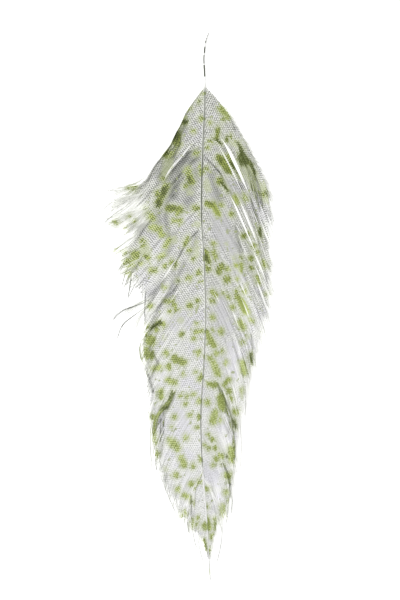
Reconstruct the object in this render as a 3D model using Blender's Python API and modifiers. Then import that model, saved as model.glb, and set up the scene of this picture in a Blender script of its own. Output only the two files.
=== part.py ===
"""A long soft hackle-like feather, lying flat with its outer face up.

Metres, +Z up. The quill's end points along +Y and the tip along -Y, and the surface that the
feather lies on is z = 0. The origin is on that surface, under the middle of the feather's box.
The whole feather grew as one piece, so shaft, vanes and locks are one solid.
"""
import random

import bmesh
import bpy
import numpy as np

MM = 0.001

# The shaft: its length, how far its line wanders aside, and its radius, all by the distance
# from the quill's end, in millimetres.
LENGTH = 175.8
SHAFT_ASIDE = ((0, 1.3), (5.8, 0.0), (17.4, 0.1), (37.7, -0.6), (58.6, -1.0), (74.7, -0.1),
               (90.0, 0.3), (105.3, -0.2), (123.0, -1.2), (140.7, -0.6), (153.6, 0.5),
               (166.5, 1.3), (LENGTH, 1.8))
SHAFT_RADIUS = ((0, 0.46), (14.0, 0.55), (60.0, 0.48), (120.0, 0.36), (168.0, 0.27), (LENGTH, 0.16))
SHAFT_POINTS = 44
SHAFT_CLEARANCE = 0.1

# The barbs of each vane. Each row is a design barb: where it leaves the shaft, from the quill's
# end; the angles in degrees, from the line towards the tip, at which it leaves, runs on and
# ends; and its length.
LEFT_BARBS = ((17.4, 40, 31, 88, 48.3), (28.0, 50, 36, 82, 46.7), (37.7, 52, 38, 78, 39.3),
              (47.3, 52, 38, 75, 38.6), (55.4, 52, 36, 60, 33.8), (63.1, 52, 33, 40, 30.9),
              (73.1, 50, 33, 34, 32.2), (95.6, 48, 31, 32, 33.2), (108.5, 46, 29, 29, 31.6),
              (118.2, 45, 29, 27, 27.4), (127.8, 42, 27, 22, 22.6), (137.5, 38, 23, 18, 18.7),
              (147.2, 34, 18, 12, 15.1), (156.8, 26, 13, 7, 10.9), (167.4, 14, 8, 5, 7.4))
RIGHT_BARBS = ((17.4, 45, 29, 24, 42.5), (28.0, 48, 21, 17, 48.6), (37.7, 47, 21, 18, 50.2),
               (53.8, 45, 23, 20, 46.8), (69.9, 43, 21, 18, 41.0), (86.0, 41, 18, 16, 35.4),
               (102.1, 40, 17, 15, 31.2), (118.2, 39, 21, 16, 27.0), (127.8, 37, 19, 14, 26.4),
               (137.5, 35, 17, 10, 22.5), (147.2, 30, 13, 8, 17.7), (156.8, 25, 11, 7, 13.2),
               (167.4, 14, 8, 5, 7.8))
# A barb settles from its first angle to its second within SETTLE_SHARE of its length, and turns
# to its last angle near its end. BARB_STEPS short straight steps follow that line.
SETTLE_SHARE = 0.22
FLARE_POWER = 5
BARB_STEPS = 24

# The vanes split into locks towards their edges. A lock spans two stations along the shaft.
STATIONS = 60
ROWS = 9
LOCK_START_ROW = (6, 7)
# How narrow a lock's end is, as a share of its root, and how late it draws in on the way there.
LOCK_TIP_WIDTH = 0.22
LOCK_TIP_POWER = 1.2
# From which share of the way out a lock is longer or shorter than its barbs.
REACH_FROM_SHARE = 0.7
LOCK_TIP_SHORTER = 0.07
LOCK_REACH = (0.94, 1.03)
# The splits that reach far in: the root distance of the barb they follow, and the row at which
# they open.
LEFT_SPLITS = ((20.0, 4), (26.0, 4), (32.2, 1), (38.0, 5), (44.0, 4), (50.0, 5), (61.5, 1),
               (67.0, 5), (88.0, 5), (112.0, 4), (124.0, 3), (142.6, 1))
RIGHT_SPLITS = ((28.0, 1), (33.5, 1), (38.6, 1), (63.5, 3), (77.0, 2), (83.0, 4), (110.0, 3),
                (144.5, 1))

# Heights: the vane's thickness, how far it slopes down from the shaft before it lies flat, and
# how far the locks' ends rise from the surface.
VANE_THICKNESS = 0.4
SLOPE_SHARE = 0.26
RISE_FROM_SHARE = 0.66
LOCK_RISE = (0.2, 1.8)
LOCK_TWIST = 0.35
# Locks that curl up more than the rest: root distance, and the height that the end reaches.
LEFT_CURLS = ((17.4, 5.0), (24.0, 4.0), (30.0, 3.0), (70.0, 3.0), (76.0, 3.5), (82.0, 3.0),
              (104.0, 3.5), (110.0, 3.0))
RIGHT_CURLS = ((20.0, 3.5), (26.0, 3.0), (112.0, 3.0))
# Loose locks that stray past the edge: root distance, and reach as a share of their barbs.
LEFT_STRAYS = ((64.0, 1.34), (69.0, 1.16))
RIGHT_STRAYS = ((150.0, 1.12),)

# The middle of the feather's box, from the quill's end and aside from the quill's line.
BOX_MIDDLE_DISTANCE = LENGTH / 2
BOX_MIDDLE_ASIDE = -5.2

KERATIN_COLOUR = (0.78, 0.79, 0.74, 1.0)
KERATIN_ROUGHNESS = 0.55
SHARP_ANGLE_DEGREES = 35
WELD_DISTANCE = 0.001 * MM
SEED = 7


def flowing(points, at):
    """Value at a distance on the smooth curve through (distance, value) points."""
    points = np.array(points, float)
    x, y = points[:, 0], points[:, 1]
    slope = np.gradient(y, x)
    i = int(np.clip(np.searchsorted(x, at, side="right") - 1, 0, len(x) - 2))
    span = x[i + 1] - x[i]
    t = (at - x[i]) / span
    from_start = (2 * t**3 - 3 * t**2 + 1) * y[i] + (t**3 - 2 * t**2 + t) * span * slope[i]
    from_end = (3 * t**2 - 2 * t**3) * y[i + 1] + (t**3 - t**2) * span * slope[i + 1]
    return float(from_start + from_end)


def smooth_step(share):
    share = min(max(share, 0.0), 1.0)
    return share * share * (3 - 2 * share)


def shaft_height(distance):
    """Height of the shaft's centre line above the surface, in millimetres."""
    return flowing(SHAFT_RADIUS, distance) + SHAFT_CLEARANCE


def in_frame(aside, distance, height):
    """Metres in the feather's frame, from millimetres aside, from the quill's end, and up."""
    return (
        (aside - BOX_MIDDLE_ASIDE) * MM,
        (BOX_MIDDLE_DISTANCE - distance) * MM,
        height * MM,
    )


class Vane:
    """One side of the feather: where its barbs run, and the locks that they hold together in."""

    def __init__(self, side, barbs, splits, curls, strays, seed):
        self.side = side
        self.barbs = barbs
        self.first = barbs[0][0]
        self.last = barbs[-1][0]
        chance = random.Random(seed)
        parity = 0 if side < 0 else 1
        self.starts = {
            station: chance.choice(LOCK_START_ROW)
            for station in range(parity, STATIONS, 2)
            if station > 0
        }
        for root, row in splits:
            self.starts[self.nearest_boundary(root)] = row
        self.parity = parity
        locks = STATIONS // 2 + 1
        self.reach = [chance.uniform(*LOCK_REACH) for _ in range(locks)]
        self.rise = [chance.uniform(*LOCK_RISE) for _ in range(locks)]
        for root, height in curls:
            self.rise[self.lock_at(self.station_of(root))] = height
        for root, reach in strays:
            self.reach[self.lock_at(self.station_of(root))] = reach

    def station_of(self, root):
        return (root - self.first) / (self.last - self.first) * STATIONS

    def nearest_boundary(self, root):
        return min(self.starts, key=lambda station: abs(station - self.station_of(root)))

    def lock_at(self, station):
        return int((station + self.parity) // 2)

    def lock_middle(self, lock):
        return 2 * lock + 1 - self.parity

    def barb_point(self, station, share):
        """Millimetres aside and from the quill's end, a share of the way along a barb."""
        root = self.first + station / STATIONS * (self.last - self.first)
        leave, run, end, length = (
            flowing([(row[0], row[k]) for row in self.barbs], root) for k in range(1, 5)
        )
        steps = (np.arange(BARB_STEPS) + 0.5) / BARB_STEPS * share
        angle = run + (leave - run) * np.exp(-steps / SETTLE_SHARE)
        angle = np.radians(angle + (end - run) * steps**FLARE_POWER)
        aside = self.side * np.sin(angle).mean() * share * length
        forward = np.cos(angle).mean() * share * length
        return flowing(SHAFT_ASIDE, root) + aside, root + forward

    def place(self, station, share, lock_stations):
        """Where a point of the vane's sheet is, given the stations of the faces around it."""
        locks = [self.lock_at(at) for at in lock_stations]
        reach = sum(self.reach[lock] for lock in locks) / len(locks)
        rise = sum(self.rise[lock] for lock in locks) / len(locks)
        offset = 0.0
        if len(set(locks)) == 1:
            middle = self.lock_middle(locks[0])
            offset = station - middle
            start = self.starts.get(round(station), ROWS) / ROWS
            if share > start and offset != 0:
                opened = ((share - start) / (1 - start)) ** LOCK_TIP_POWER
                offset *= 1 - (1 - LOCK_TIP_WIDTH) * opened
                station = min(max(middle + offset, 0.0), STATIONS)
        outward = smooth_step((share - REACH_FROM_SHARE) / (1 - REACH_FROM_SHARE))
        along = share * (1 + (reach - 1 - LOCK_TIP_SHORTER * abs(offset)) * outward)
        aside, distance = self.barb_point(station, along)
        at_shaft = shaft_height(self.first + station / STATIONS * (self.last - self.first))
        slope = 1 - smooth_step(share / SLOPE_SHARE)
        risen = smooth_step((share - RISE_FROM_SHARE) / (1 - RISE_FROM_SHARE))
        twist = max(0.0, LOCK_TWIST * offset)
        height = (at_shaft - VANE_THICKNESS / 2) * slope + (rise + twist) * risen
        return in_frame(aside, distance, height)


def vane_sheet(vanes):
    """Open sheet of both vanes, joined along the shaft and split into locks: its underside."""
    sheet = bmesh.new()
    bmesh.ops.create_grid(sheet, x_segments=2 * ROWS, y_segments=STATIONS, size=1)
    across = sheet.verts.layers.float.new("across")
    along = sheet.verts.layers.float.new("along")
    for vert in sheet.verts:
        vert[across] = round(vert.co.x * ROWS)
        vert[along] = round((1 - vert.co.y) / 2 * STATIONS)
    slits = []
    for edge in sheet.edges:
        one, other = edge.verts
        if one[along] != other[along]:
            continue
        middle = (one[across] + other[across]) / 2
        starts = vanes[middle > 0].starts
        if abs(middle) > starts.get(int(one[along]), ROWS):
            slits.append(edge)
    bmesh.ops.split_edges(sheet, edges=slits)
    places = []
    for vert in sheet.verts:
        stations = [
            sum(corner[along] for corner in face.verts) / len(face.verts)
            for face in vert.link_faces
        ]
        vane = vanes[vert[across] > 0]
        places.append(vane.place(vert[along], abs(vert[across]) / ROWS, stations))
    for vert, place in zip(sheet.verts, places):
        vert.co = place
    bmesh.ops.recalc_face_normals(sheet, faces=sheet.faces)
    if sum(face.normal.z for face in sheet.faces) < 0:
        bmesh.ops.reverse_faces(sheet, faces=sheet.faces)
    mesh = bpy.data.meshes.new("vanes")
    sheet.to_mesh(mesh)
    sheet.free()
    return mesh


def shaft_tube():
    """The shaft as a closed tube that tapers from the quill to the tip."""
    curve = bpy.data.curves.new("shaft", "CURVE")
    curve.dimensions = "3D"
    curve.bevel_depth = MM
    curve.bevel_resolution = 2
    curve.use_fill_caps = True
    line = curve.splines.new("POLY")
    line.points.add(SHAFT_POINTS - 1)
    for point, distance in zip(line.points, np.linspace(0, LENGTH, SHAFT_POINTS)):
        aside = flowing(SHAFT_ASIDE, distance)
        point.co = (*in_frame(aside, distance, shaft_height(distance)), 1)
        point.radius = flowing(SHAFT_RADIUS, distance)
    return curve


def meshed(curve, collection):
    """A curve's evaluated mesh as an object of its own, with the caps welded on."""
    bent = bpy.data.objects.new(curve.name, curve)
    collection.objects.link(bent)
    seen = bent.evaluated_get(bpy.context.evaluated_depsgraph_get())
    mesh = bpy.data.meshes.new_from_object(seen)
    welded = bmesh.new()
    welded.from_mesh(mesh)
    bmesh.ops.remove_doubles(welded, verts=welded.verts, dist=WELD_DISTANCE)
    welded.to_mesh(mesh)
    welded.free()
    solid = bpy.data.objects.new(curve.name, mesh)
    solid.matrix_world = bent.matrix_world.copy()
    collection.objects.link(solid)
    bpy.data.objects.remove(bent)
    return solid


def keratin():
    material = bpy.data.materials.new("keratin")
    material.use_nodes = True
    shader = material.node_tree.nodes["Principled BSDF"]
    shader.inputs["Base Color"].default_value = KERATIN_COLOUR
    shader.inputs["Roughness"].default_value = KERATIN_ROUGHNESS
    shader.inputs["Metallic"].default_value = 0.0
    return material


def new_collection(name):
    collection = bpy.data.collections.new(name)
    bpy.context.scene.collection.children.link(collection)
    return collection


for old in list(bpy.data.objects):
    bpy.data.objects.remove(old)

parts = new_collection("schlappen_feather")
guides = new_collection("guides")

left = Vane(-1, LEFT_BARBS, LEFT_SPLITS, LEFT_CURLS, LEFT_STRAYS, SEED)
right = Vane(1, RIGHT_BARBS, RIGHT_SPLITS, RIGHT_CURLS, RIGHT_STRAYS, SEED + 1)

shaft = meshed(shaft_tube(), guides)
shaft.hide_render = True
shaft.display_type = "WIRE"

feather = bpy.data.objects.new("feather", vane_sheet((left, right)))
parts.objects.link(feather)
feather.data.materials.append(keratin())

thick = feather.modifiers.new("thickness", "SOLIDIFY")
thick.thickness = VANE_THICKNESS * MM
thick.offset = 1

joined = feather.modifiers.new("shaft", "BOOLEAN")
joined.operation = "UNION"
joined.solver = "EXACT"
joined.object = shaft

feather.data.shade_smooth()
feather.data.set_sharp_from_angle(angle=np.radians(SHARP_ANGLE_DEGREES))
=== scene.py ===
import math

import bmesh
import bpy
import numpy as np
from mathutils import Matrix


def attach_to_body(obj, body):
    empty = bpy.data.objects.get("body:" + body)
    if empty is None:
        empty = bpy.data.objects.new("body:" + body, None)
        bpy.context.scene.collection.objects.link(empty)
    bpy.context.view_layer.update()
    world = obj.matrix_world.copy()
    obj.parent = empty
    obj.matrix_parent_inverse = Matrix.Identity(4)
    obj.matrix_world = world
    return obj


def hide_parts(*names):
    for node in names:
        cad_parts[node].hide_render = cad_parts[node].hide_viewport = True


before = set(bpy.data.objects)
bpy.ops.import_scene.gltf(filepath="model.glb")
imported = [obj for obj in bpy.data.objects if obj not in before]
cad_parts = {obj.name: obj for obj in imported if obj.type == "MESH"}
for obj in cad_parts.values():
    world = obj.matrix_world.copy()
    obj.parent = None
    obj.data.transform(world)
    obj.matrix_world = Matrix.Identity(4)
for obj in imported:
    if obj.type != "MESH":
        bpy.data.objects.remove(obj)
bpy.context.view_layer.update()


# --- The table under the feather, its light and the camera. The feather lies on a sheet of matt
# white plastic that is lit so evenly that it keeps hardly a shadow. One wide soft light stands
# off to the upper left, and the camera looks straight down from about half a metre.

# In this section lengths are in metres, apart from those with MM in their names.
MM = 0.001
TABLE_SIDE = 1.2
TABLE_WHITE = (0.95, 0.95, 0.945, 1.0)
TABLE_GLOW = 0.35
TABLE_ROUGHNESS = 0.9
SKY_WHITE = (1.0, 1.0, 1.0, 1.0)
SKY_STRENGTH = 0.62
LAMP_SIDE = 0.55
LAMP_PLACE = (-0.42, 0.38, 0.75)
LAMP_POWER = 5.0
LENS_MM = 100.0
SENSOR_MM = 36.0
VIEW_HEIGHT_MM = 193.2
VIEW_CENTRE_MM = (3.75, 2.09)
NEAREST_SEEN = 0.01


class Wire:
    """A socket among a material's nodes: sums with it add Math nodes."""

    def __init__(self, tree, socket=None):
        self.tree = tree
        self.socket = socket

    def node(self, kind, settings=(), sockets=(), out=0):
        """Adds a node of any other kind: its settings first, then values or links to sockets."""
        added = self.tree.nodes.new("ShaderNode" + kind)
        for name, value in dict(settings).items():
            setattr(added, name, value)
        for key, value in dict(sockets).items():
            if isinstance(value, Wire):
                self.tree.links.new(value.socket, added.inputs[key])
            else:
                added.inputs[key].default_value = value
        return Wire(self.tree, added.outputs[out])

    def maths(self, operation, *others):
        """A Math node on this and other sockets or numbers."""
        return self.node("Math", {"operation": operation}, dict(enumerate((self, *others))))

    def __add__(self, other):
        return self.maths("ADD", other)

    def __radd__(self, other):
        return self + other

    def __sub__(self, other):
        return self.maths("SUBTRACT", other)

    def __rsub__(self, other):
        return self.node("Math", {"operation": "SUBTRACT"}, {0: other, 1: self})

    def __mul__(self, other):
        return self.maths("MULTIPLY", other)

    def __rmul__(self, other):
        return self * other

    def wave(self):
        return self.maths("SINE")

    def step(self, low, high):
        """0 below low, 1 above high, and a smooth slope between them."""
        limits = {0: self, 1: low, 2: high, 3: 0.0, 4: 1.0}
        return self.node("MapRange", {"interpolation_type": "SMOOTHSTEP"}, limits)

    def blend(self, none, full):
        """The colour none where this wire is 0, and full where it is 1."""
        mixed = {0: self, 6: none, 7: full}
        return self.node("Mix", {"data_type": "RGBA"}, mixed, out=2)


def new_material(name):
    """A material with its shader, and a wire to build on."""
    material = bpy.data.materials.new(name)
    material.use_nodes = True
    return material, material.node_tree.nodes["Principled BSDF"], Wire(material.node_tree)


def attach(shader, socket, wire):
    """Links a wire to one of the shader's sockets."""
    wire.tree.links.new(wire.socket, shader.inputs[socket])


def new_piece(name, mesh, material):
    """An object at the origin, in the scene, with one material."""
    piece = bpy.data.objects.new(name, mesh)
    bpy.context.scene.collection.objects.link(piece)
    mesh.materials.append(material)
    return piece


table_form = bmesh.new()
bmesh.ops.create_grid(table_form, x_segments=1, y_segments=1, size=TABLE_SIDE / 2)
table_mesh = bpy.data.meshes.new("table")
table_form.to_mesh(table_mesh)
table_form.free()
table_paint, table_shader, _ = new_material("matt_white_plastic")
table_shader.inputs["Base Color"].default_value = TABLE_WHITE
table_shader.inputs["Roughness"].default_value = TABLE_ROUGHNESS
table_shader.inputs["Emission Color"].default_value = TABLE_WHITE
table_shader.inputs["Emission Strength"].default_value = TABLE_GLOW
table = new_piece("table", table_mesh, table_paint)

world = bpy.data.worlds.new("soft_sky")
world.use_nodes = True
world.node_tree.nodes["Background"].inputs["Color"].default_value = SKY_WHITE
world.node_tree.nodes["Background"].inputs["Strength"].default_value = SKY_STRENGTH
bpy.context.scene.world = world
bpy.context.scene.view_settings.view_transform = "Standard"

lamp_data = bpy.data.lights.new("soft_lamp", "AREA")
lamp_data.shape = "SQUARE"
lamp_data.size = LAMP_SIDE
lamp_data.energy = LAMP_POWER
lamp = bpy.data.objects.new("soft_lamp", lamp_data)
lamp.location = LAMP_PLACE
lamp.rotation_euler = (-lamp.location).to_track_quat("-Z", "Y").to_euler()
bpy.context.scene.collection.objects.link(lamp)

camera_data = bpy.data.cameras.new("camera")
camera_data.lens = LENS_MM
camera_data.sensor_width = SENSOR_MM
camera_data.clip_start = NEAREST_SEEN
camera = bpy.data.objects.new("camera", camera_data)
camera_height = VIEW_HEIGHT_MM * LENS_MM / SENSOR_MM
camera.location = (VIEW_CENTRE_MM[0] * MM, VIEW_CENTRE_MM[1] * MM, camera_height * MM)
bpy.context.scene.collection.objects.link(camera)
bpy.context.scene.camera = camera


# --- The shaft: the feather's quill and midrib in one, a tapering rod of keratin that grew with
# the vanes. The bare quill bends a little aside. A thin dark line of painted shadow, over a shallow
# bumped groove, runs along its outer face, which is the side seen here.

# From here on lengths are in millimetres.
LENGTH = 175.8
# The shaft's middle aside, its radius and its height, each by distance from the quill's end.
SHAFT_ASIDE = (
    (0, 1.3), (1.7, 0.66), (2.8, 0.36), (4.5, 0.08), (6.2, -0.06), (8.4, -0.26), (10.6, -0.12),
    (12.5, -0.02), (17.4, 0.1), (37.7, -0.6), (58.6, -1), (74.7, -0.1), (90, 0.3), (105.3, -0.2),
    (123, -1.2), (140.7, -0.6), (153.6, 0.5), (166.5, 1.3), (LENGTH, 1.8))
SHAFT_RADIUS = (
    (0, 0.22), (3, 0.3), (14, 0.36), (60, 0.34), (120, 0.27), (160, 0.18), (168, 0.13), (LENGTH, 0.09))
SHAFT_HEIGHT = ((0, 0.5), (14, 0.66), (60, 0.62), (120, 0.5), (168, 0.36), (LENGTH, 0.2))
SHAFT_SIDES = 12
SHAFT_RINGS = 180
BOX_MIDDLE_DISTANCE = LENGTH / 2
BOX_MIDDLE_ASIDE = -5.2
QUILL_WHITE = (0.97, 0.97, 0.955, 1.0)
RIB_GREY = (0.72, 0.73, 0.68, 1.0)
RIB_PALE = (0.86, 0.87, 0.82, 1.0)
TIP_GREY = (0.55, 0.56, 0.50, 1.0)
SHAFT_GREEN = (0.36, 0.43, 0.14, 1.0)
# The painted shadow line along the bare quill comes and goes: where it starts and ends, how strong it
# is.
QUILL_LINES = (
    (-0.2, 0.3, 0.8), (0.6, 1, 0.8), (1.5, 2, 0.9), (2.4, 3.1, 1.2), (4.4, 6.4, 1.2), (7, 9.8, 0.8),
    (10.3, 13.9, 1.4))
# Green marks that cross the shaft: where, and half their length.
SHAFT_MARKS = (
    (19.4, 0.6), (27.6, 0.6), (44.6, 1.5), (72.4, 1.2), (96, 0.7), (104, 0.8), (110.6, 0.8), (118.4, 1),
    (123.4, 0.7), (137.2, 0.9), (158.6, 1.4), (173.2, 1))
# Stretches, by distance, over which the rib, or the groove with its painted shadow, changes.
RIB_STARTS = (15.5, 18.5)
RIB_PALES = (50, 66)
RIB_GREYS = (92, 112)
RIB_WHITENS = (120, 135)
RIB_ENDS = (168, 172.6)
GROOVE_STARTS = (17, 19)
GROOVE_DEEPENS = (38, 44)
GROOVE_EASES = (58, 63)
GROOVE_WEAKENS = (80, 90)
GROOVE_RETURNS = (116, 124)
GROOVE_FADES = (139, 143)
GROOVE_NARROWS = (14, 18)
GROOVE_WIDENS = (80, 120)
# The groove with its painted shadow: half its width and how soft its rim is, in turns around the
# shaft, and how far the grain pushes it aside.
GROOVE_HALF = 0.17
GROOVE_SOFT = 0.03
GROOVE_WANDER = 0.08
# How fine the grain is around the shaft and along it.
GRAIN_ACROSS = 9.0
GRAIN_ALONG = 0.35
MARK_STRENGTH = 0.85
BUMP_DEPTH = 0.0001
# The painted shadow along the groove, dark grey and dark green.
GROOVE_SHADOW_DARK = (0.045, 0.05, 0.035, 1.0)
GROOVE_SHADOW_GREEN = (0.05, 0.07, 0.015, 1.0)


def flowing(points, at):
    """Values at distances on the smooth curve through (distance, value) points."""
    points = np.array(points, float)
    x, y = points[:, 0], points[:, 1]
    slope = np.gradient(y, x)
    at = np.asarray(at, float)
    i = np.clip(np.searchsorted(x, at, side="right") - 1, 0, len(x) - 2)
    span = x[i + 1] - x[i]
    t = (at - x[i]) / span
    from_start = (2 * t**3 - 3 * t**2 + 1) * y[i] + (t**3 - 2 * t**2 + t) * span * slope[i]
    from_end = (3 * t**2 - 2 * t**3) * y[i + 1] + (t**3 - t**2) * span * slope[i + 1]
    return from_start + from_end


def in_frame(aside, distance, height):
    """Metres in the feather's frame, from millimetres aside, from the quill's end, and up."""
    places = (aside - BOX_MIDDLE_ASIDE, BOX_MIDDLE_DISTANCE - distance, height)
    return np.stack(np.broadcast_arrays(*places), axis=-1) * MM


shaft_form = bmesh.new()
bmesh.ops.create_cone(shaft_form, cap_ends=True, segments=SHAFT_SIDES, radius1=1, radius2=1,
                      depth=1)
walls = [edge for edge in shaft_form.edges if abs(edge.verts[0].co.z - edge.verts[1].co.z) > 0.5]
bmesh.ops.subdivide_edges(shaft_form, edges=walls, cuts=SHAFT_RINGS)
shaft_uv = shaft_form.loops.layers.uv.new("rod")
for face in shaft_form.faces:
    turns = [math.atan2(loop.vert.co.x, -loop.vert.co.y) / math.tau for loop in face.loops]
    for loop, turn in zip(face.loops, turns):
        turn += 1.0 if turn - turns[0] < -0.5 else -1.0 if turn - turns[0] > 0.5 else 0.0
        loop[shaft_uv].uv = (turn, (0.5 - loop.vert.co.z) * LENGTH)
rings = np.array([vert.co for vert in shaft_form.verts])
ring_at = (0.5 - rings[:, 2]) * LENGTH
ring_radius = flowing(SHAFT_RADIUS, ring_at)
shaft_places = in_frame(flowing(SHAFT_ASIDE, ring_at) + rings[:, 0] * ring_radius, ring_at,
                        flowing(SHAFT_HEIGHT, ring_at) - rings[:, 1] * ring_radius)
for vert, place in zip(shaft_form.verts, shaft_places):
    vert.co = place
bmesh.ops.recalc_face_normals(shaft_form, faces=shaft_form.faces)
shaft_mesh = bpy.data.meshes.new("shaft")
shaft_form.to_mesh(shaft_mesh)
shaft_form.free()
shaft_mesh.shade_smooth()

shaft_paint, shaft_shader, wire = new_material("shaft_keratin")
rod = wire.node("UVMap", {"uv_map": "rod"})
turn = wire.node("SeparateXYZ", {}, {0: rod}, out=0)
run = wire.node("SeparateXYZ", {}, {0: rod}, out=1)
streaks = wire.node("CombineXYZ", {}, {0: turn * GRAIN_ACROSS, 1: run * GRAIN_ALONG})
grain = wire.node("TexNoise", {}, {"Vector": streaks, "Scale": 1.0, "Detail": 3.0})
rib = (run.step(*RIB_PALES) * (1.0 - run.step(*RIB_GREYS) * 0.5)).blend(RIB_GREY, RIB_PALE)
rib = run.step(*RIB_WHITENS).blend(rib, QUILL_WHITE)
rib = run.step(*RIB_ENDS).blend(rib, TIP_GREY)
bone = run.step(*RIB_STARTS).blend(QUILL_WHITE, rib)
groove_line = (turn + (grain - 0.5) * GROOVE_WANDER).maths("ABSOLUTE")
shown = run.step(*GROOVE_STARTS) * (1.0 - run.step(*GROOVE_FADES) * 0.85) * (0.65 + grain * 0.7)
shown = shown * (0.85 + run.step(*GROOVE_DEEPENS) * (0.6 - run.step(*GROOVE_EASES) * 0.6))
shown = shown * (1.0 - run.step(*GROOVE_WEAKENS) * 0.15 + run.step(*GROOVE_RETURNS) * 0.25)
for start, end, strength in QUILL_LINES:
    line = run.step(start - 0.3, start + 0.2) * (1.0 - run.step(end - 0.2, end + 0.3))
    shown = shown + line * strength
groove_half = GROOVE_HALF - run.step(*GROOVE_NARROWS) * 0.05 + run.step(*GROOVE_WIDENS) * 0.03
# The same mask gives painted shadow in the colour and a shallow groove in the bump.
groove_and_shadow = (1.0 - groove_line.step(GROOVE_SOFT, groove_half)) * shown
greened = 0
for middle, half in SHAFT_MARKS:
    near = (run - middle + (grain - 0.5) * 1.2).maths("ABSOLUTE")
    greened = 1.0 - near.step(half * 0.5, half * 1.2) + greened
bone = (greened * MARK_STRENGTH).blend(bone, SHAFT_GREEN)
groove_shadow_colour = grain.step(0.4, 0.6).blend(GROOVE_SHADOW_DARK, GROOVE_SHADOW_GREEN)
attach(shaft_shader, "Base Color", groove_and_shadow.blend(bone, groove_shadow_colour))
attach(shaft_shader, "Roughness", 0.36 + grain * 0.2)
shaft_relief = {"Strength": 0.3, "Distance": BUMP_DEPTH, "Height": grain - groove_and_shadow}
attach(shaft_shader, "Normal", wire.node("Bump", {}, shaft_relief))
shaft = new_piece("shaft", shaft_mesh, shaft_paint)
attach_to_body(shaft, "root")
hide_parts("feather")


# --- The left vane: some 360 barbs of soft keratin that grew from the shaft's left side, each a
# flat strand with its barbules hooked to its neighbour's. Towards the edge the hooks let go: the
# barbs part into locks and end as loose hairs, and near the quill they curl away in a wide fan.

# Shares run from 0 at a barb's root to 1 at its end.
# Barbs: how far apart their roots are, over which share they settle from the heading at which
# they leave, and with which power of the share they turn to the one at which they end.
BARB_SPACING = 0.42
ROOT_JITTER = 0.06
SETTLE_SHARE = 0.22
FLARE_POWER = 5
# Stations along a barb. Barbs shorter than this have every other one.
STATIONS = 65
SHORT_BARB = 25
# Heights: down from the shaft over the first share, then level with pleats and ripples, and up
# from the second share on.
SLOPE_SHARE = 0.26
RISE_FROM_SHARE = 0.66
MID_HEIGHT = 0.24
BELOW_SHAFT = 0.3
LOWEST = 0.16
PLEAT = 0.18
PLEAT_GROWS = 0.5
PLEAT_ENDS = 1.2
PLEAT_FADES = 0.4
RIPPLE = 0.08
RIPPLE_ACROSS = 1.9
RIPPLE_ALONG = 9.0
# Strands: how wide a hair and a barb in the web are, how much they overlap and tilt, and how
# high their crest is.
HAIR_WIDTH = 0.1
WEB_WIDTH = (0.16, 0.62)
STRAND_OVERLAP = 1.35
STRAND_TILT = 0.1
CREST = 0.1
# How far a mark slips from barb to barb, and how far from a slit barbs are pushed and lifted.
SLIP = 0.3
SLIT_REACH = 2.6
OVERLAP_REACH = 1.1
# Fine slits: how many, from how far past the first root up to which root, and where they open,
# how far on they are widest and how wide they are.
FINE_SLITS = 16
FINE_SLITS_FROM = 4
FINE_SLITS_TO = 150
FINE_OPENS = (0.5, 0.72)
FINE_WIDENS = (0.1, 0.2)
FINE_WIDTH = (0.25, 0.55)
FINE_LIFT = 0.2
# Locks: how much of the shaft each takes, how near a slit one may end, where they start to close
# up and how far, how far they reach and how high their ends rise.
LOCK_SPAN = (1.6, 4.4)
LOCK_APART = 1.2
LOCK_OPENS = (0.76, 0.92)
LOCK_TIP = (0.6, 0.95)
LOCK_REACH = (0.98, 1.03)
LOCK_RISE = (0.3, 1.3)
CLOSING_POWER = 1.3
# Single barbs: where and over which share they fray, how much shorter than their lock they are
# at most, how many are too long and by how much, and how far they stray and from which share on.
FRAYS = (0.78, 0.93)
FRAY_SHARE = 0.18
FULL_REACH = 1.02
SHORT_BY = 0.12
LONG_CHANCE = 0.08
LONG_BY = (0.02, 0.09)
STRAY = 0.35
STRAYS_FROM = 0.7
STRAYS_OVER = 0.3
# The fan: over how much of the shaft it fades out, how much earlier its locks open and its barbs
# fray, how much thinner its locks end, and how much shorter and further astray its barbs are.
FAN_FADE = 16
FAN_OPENS_EARLIER = 0.24
FAN_FRAYS_EARLIER = 0.3
FAN_THINNER = 0.3
FAN_SHORT_BY = 0.18
FAN_STRAY = 0.5
# Clumps of a few barbs: how often one ends, from which share on and how far its barbs draw
# together, and how much paler than the web they are.
CLUMP_CHANCE = 0.3
CLUMPS_FROM = 0.78
CLUMPS_OVER = 0.25
CLUMPS_CLOSE = 0.5
PALER_MEAN = 0.32
PALER_SWING = 0.68
PALER_PITCH = 37.0
# How fast an edge turns up, and how much of what lies past it is drawn in.
TUCK_RISE = 0.55
TUCK_DRAWN = 0.88
# What stands for the distance to a mark's rim where none is near, and how far a mark is felt.
NO_MARK = 3.0
MARK_REACH = 6
# Barbs by root: the headings, in degrees off the shaft, at which they leave it, run and end, and
# their length.
LEFT_BARBS = (
    (17.4, 40, 31, 88, 48.3), (28, 50, 36, 82, 46.7), (37.7, 52, 38, 78, 39.3),
    (47.3, 52, 38, 75, 38.6), (55.4, 52, 36, 60, 33.8), (63.1, 52, 33, 40, 30.9),
    (73.1, 50, 33, 26, 34.6), (84, 49, 32, 16, 35.6), (95.6, 48, 31, 10, 34.6),
    (108.5, 46, 29, 4, 32.6), (118.2, 45, 29, 0, 28.2), (127.8, 42, 27, -2, 23.4),
    (137.5, 38, 23, -2, 19.2), (147.2, 34, 18, -2, 12.8), (156.8, 27, 15, 2, 6), (167.4, 16, 8, 2, 1.8))
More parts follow.
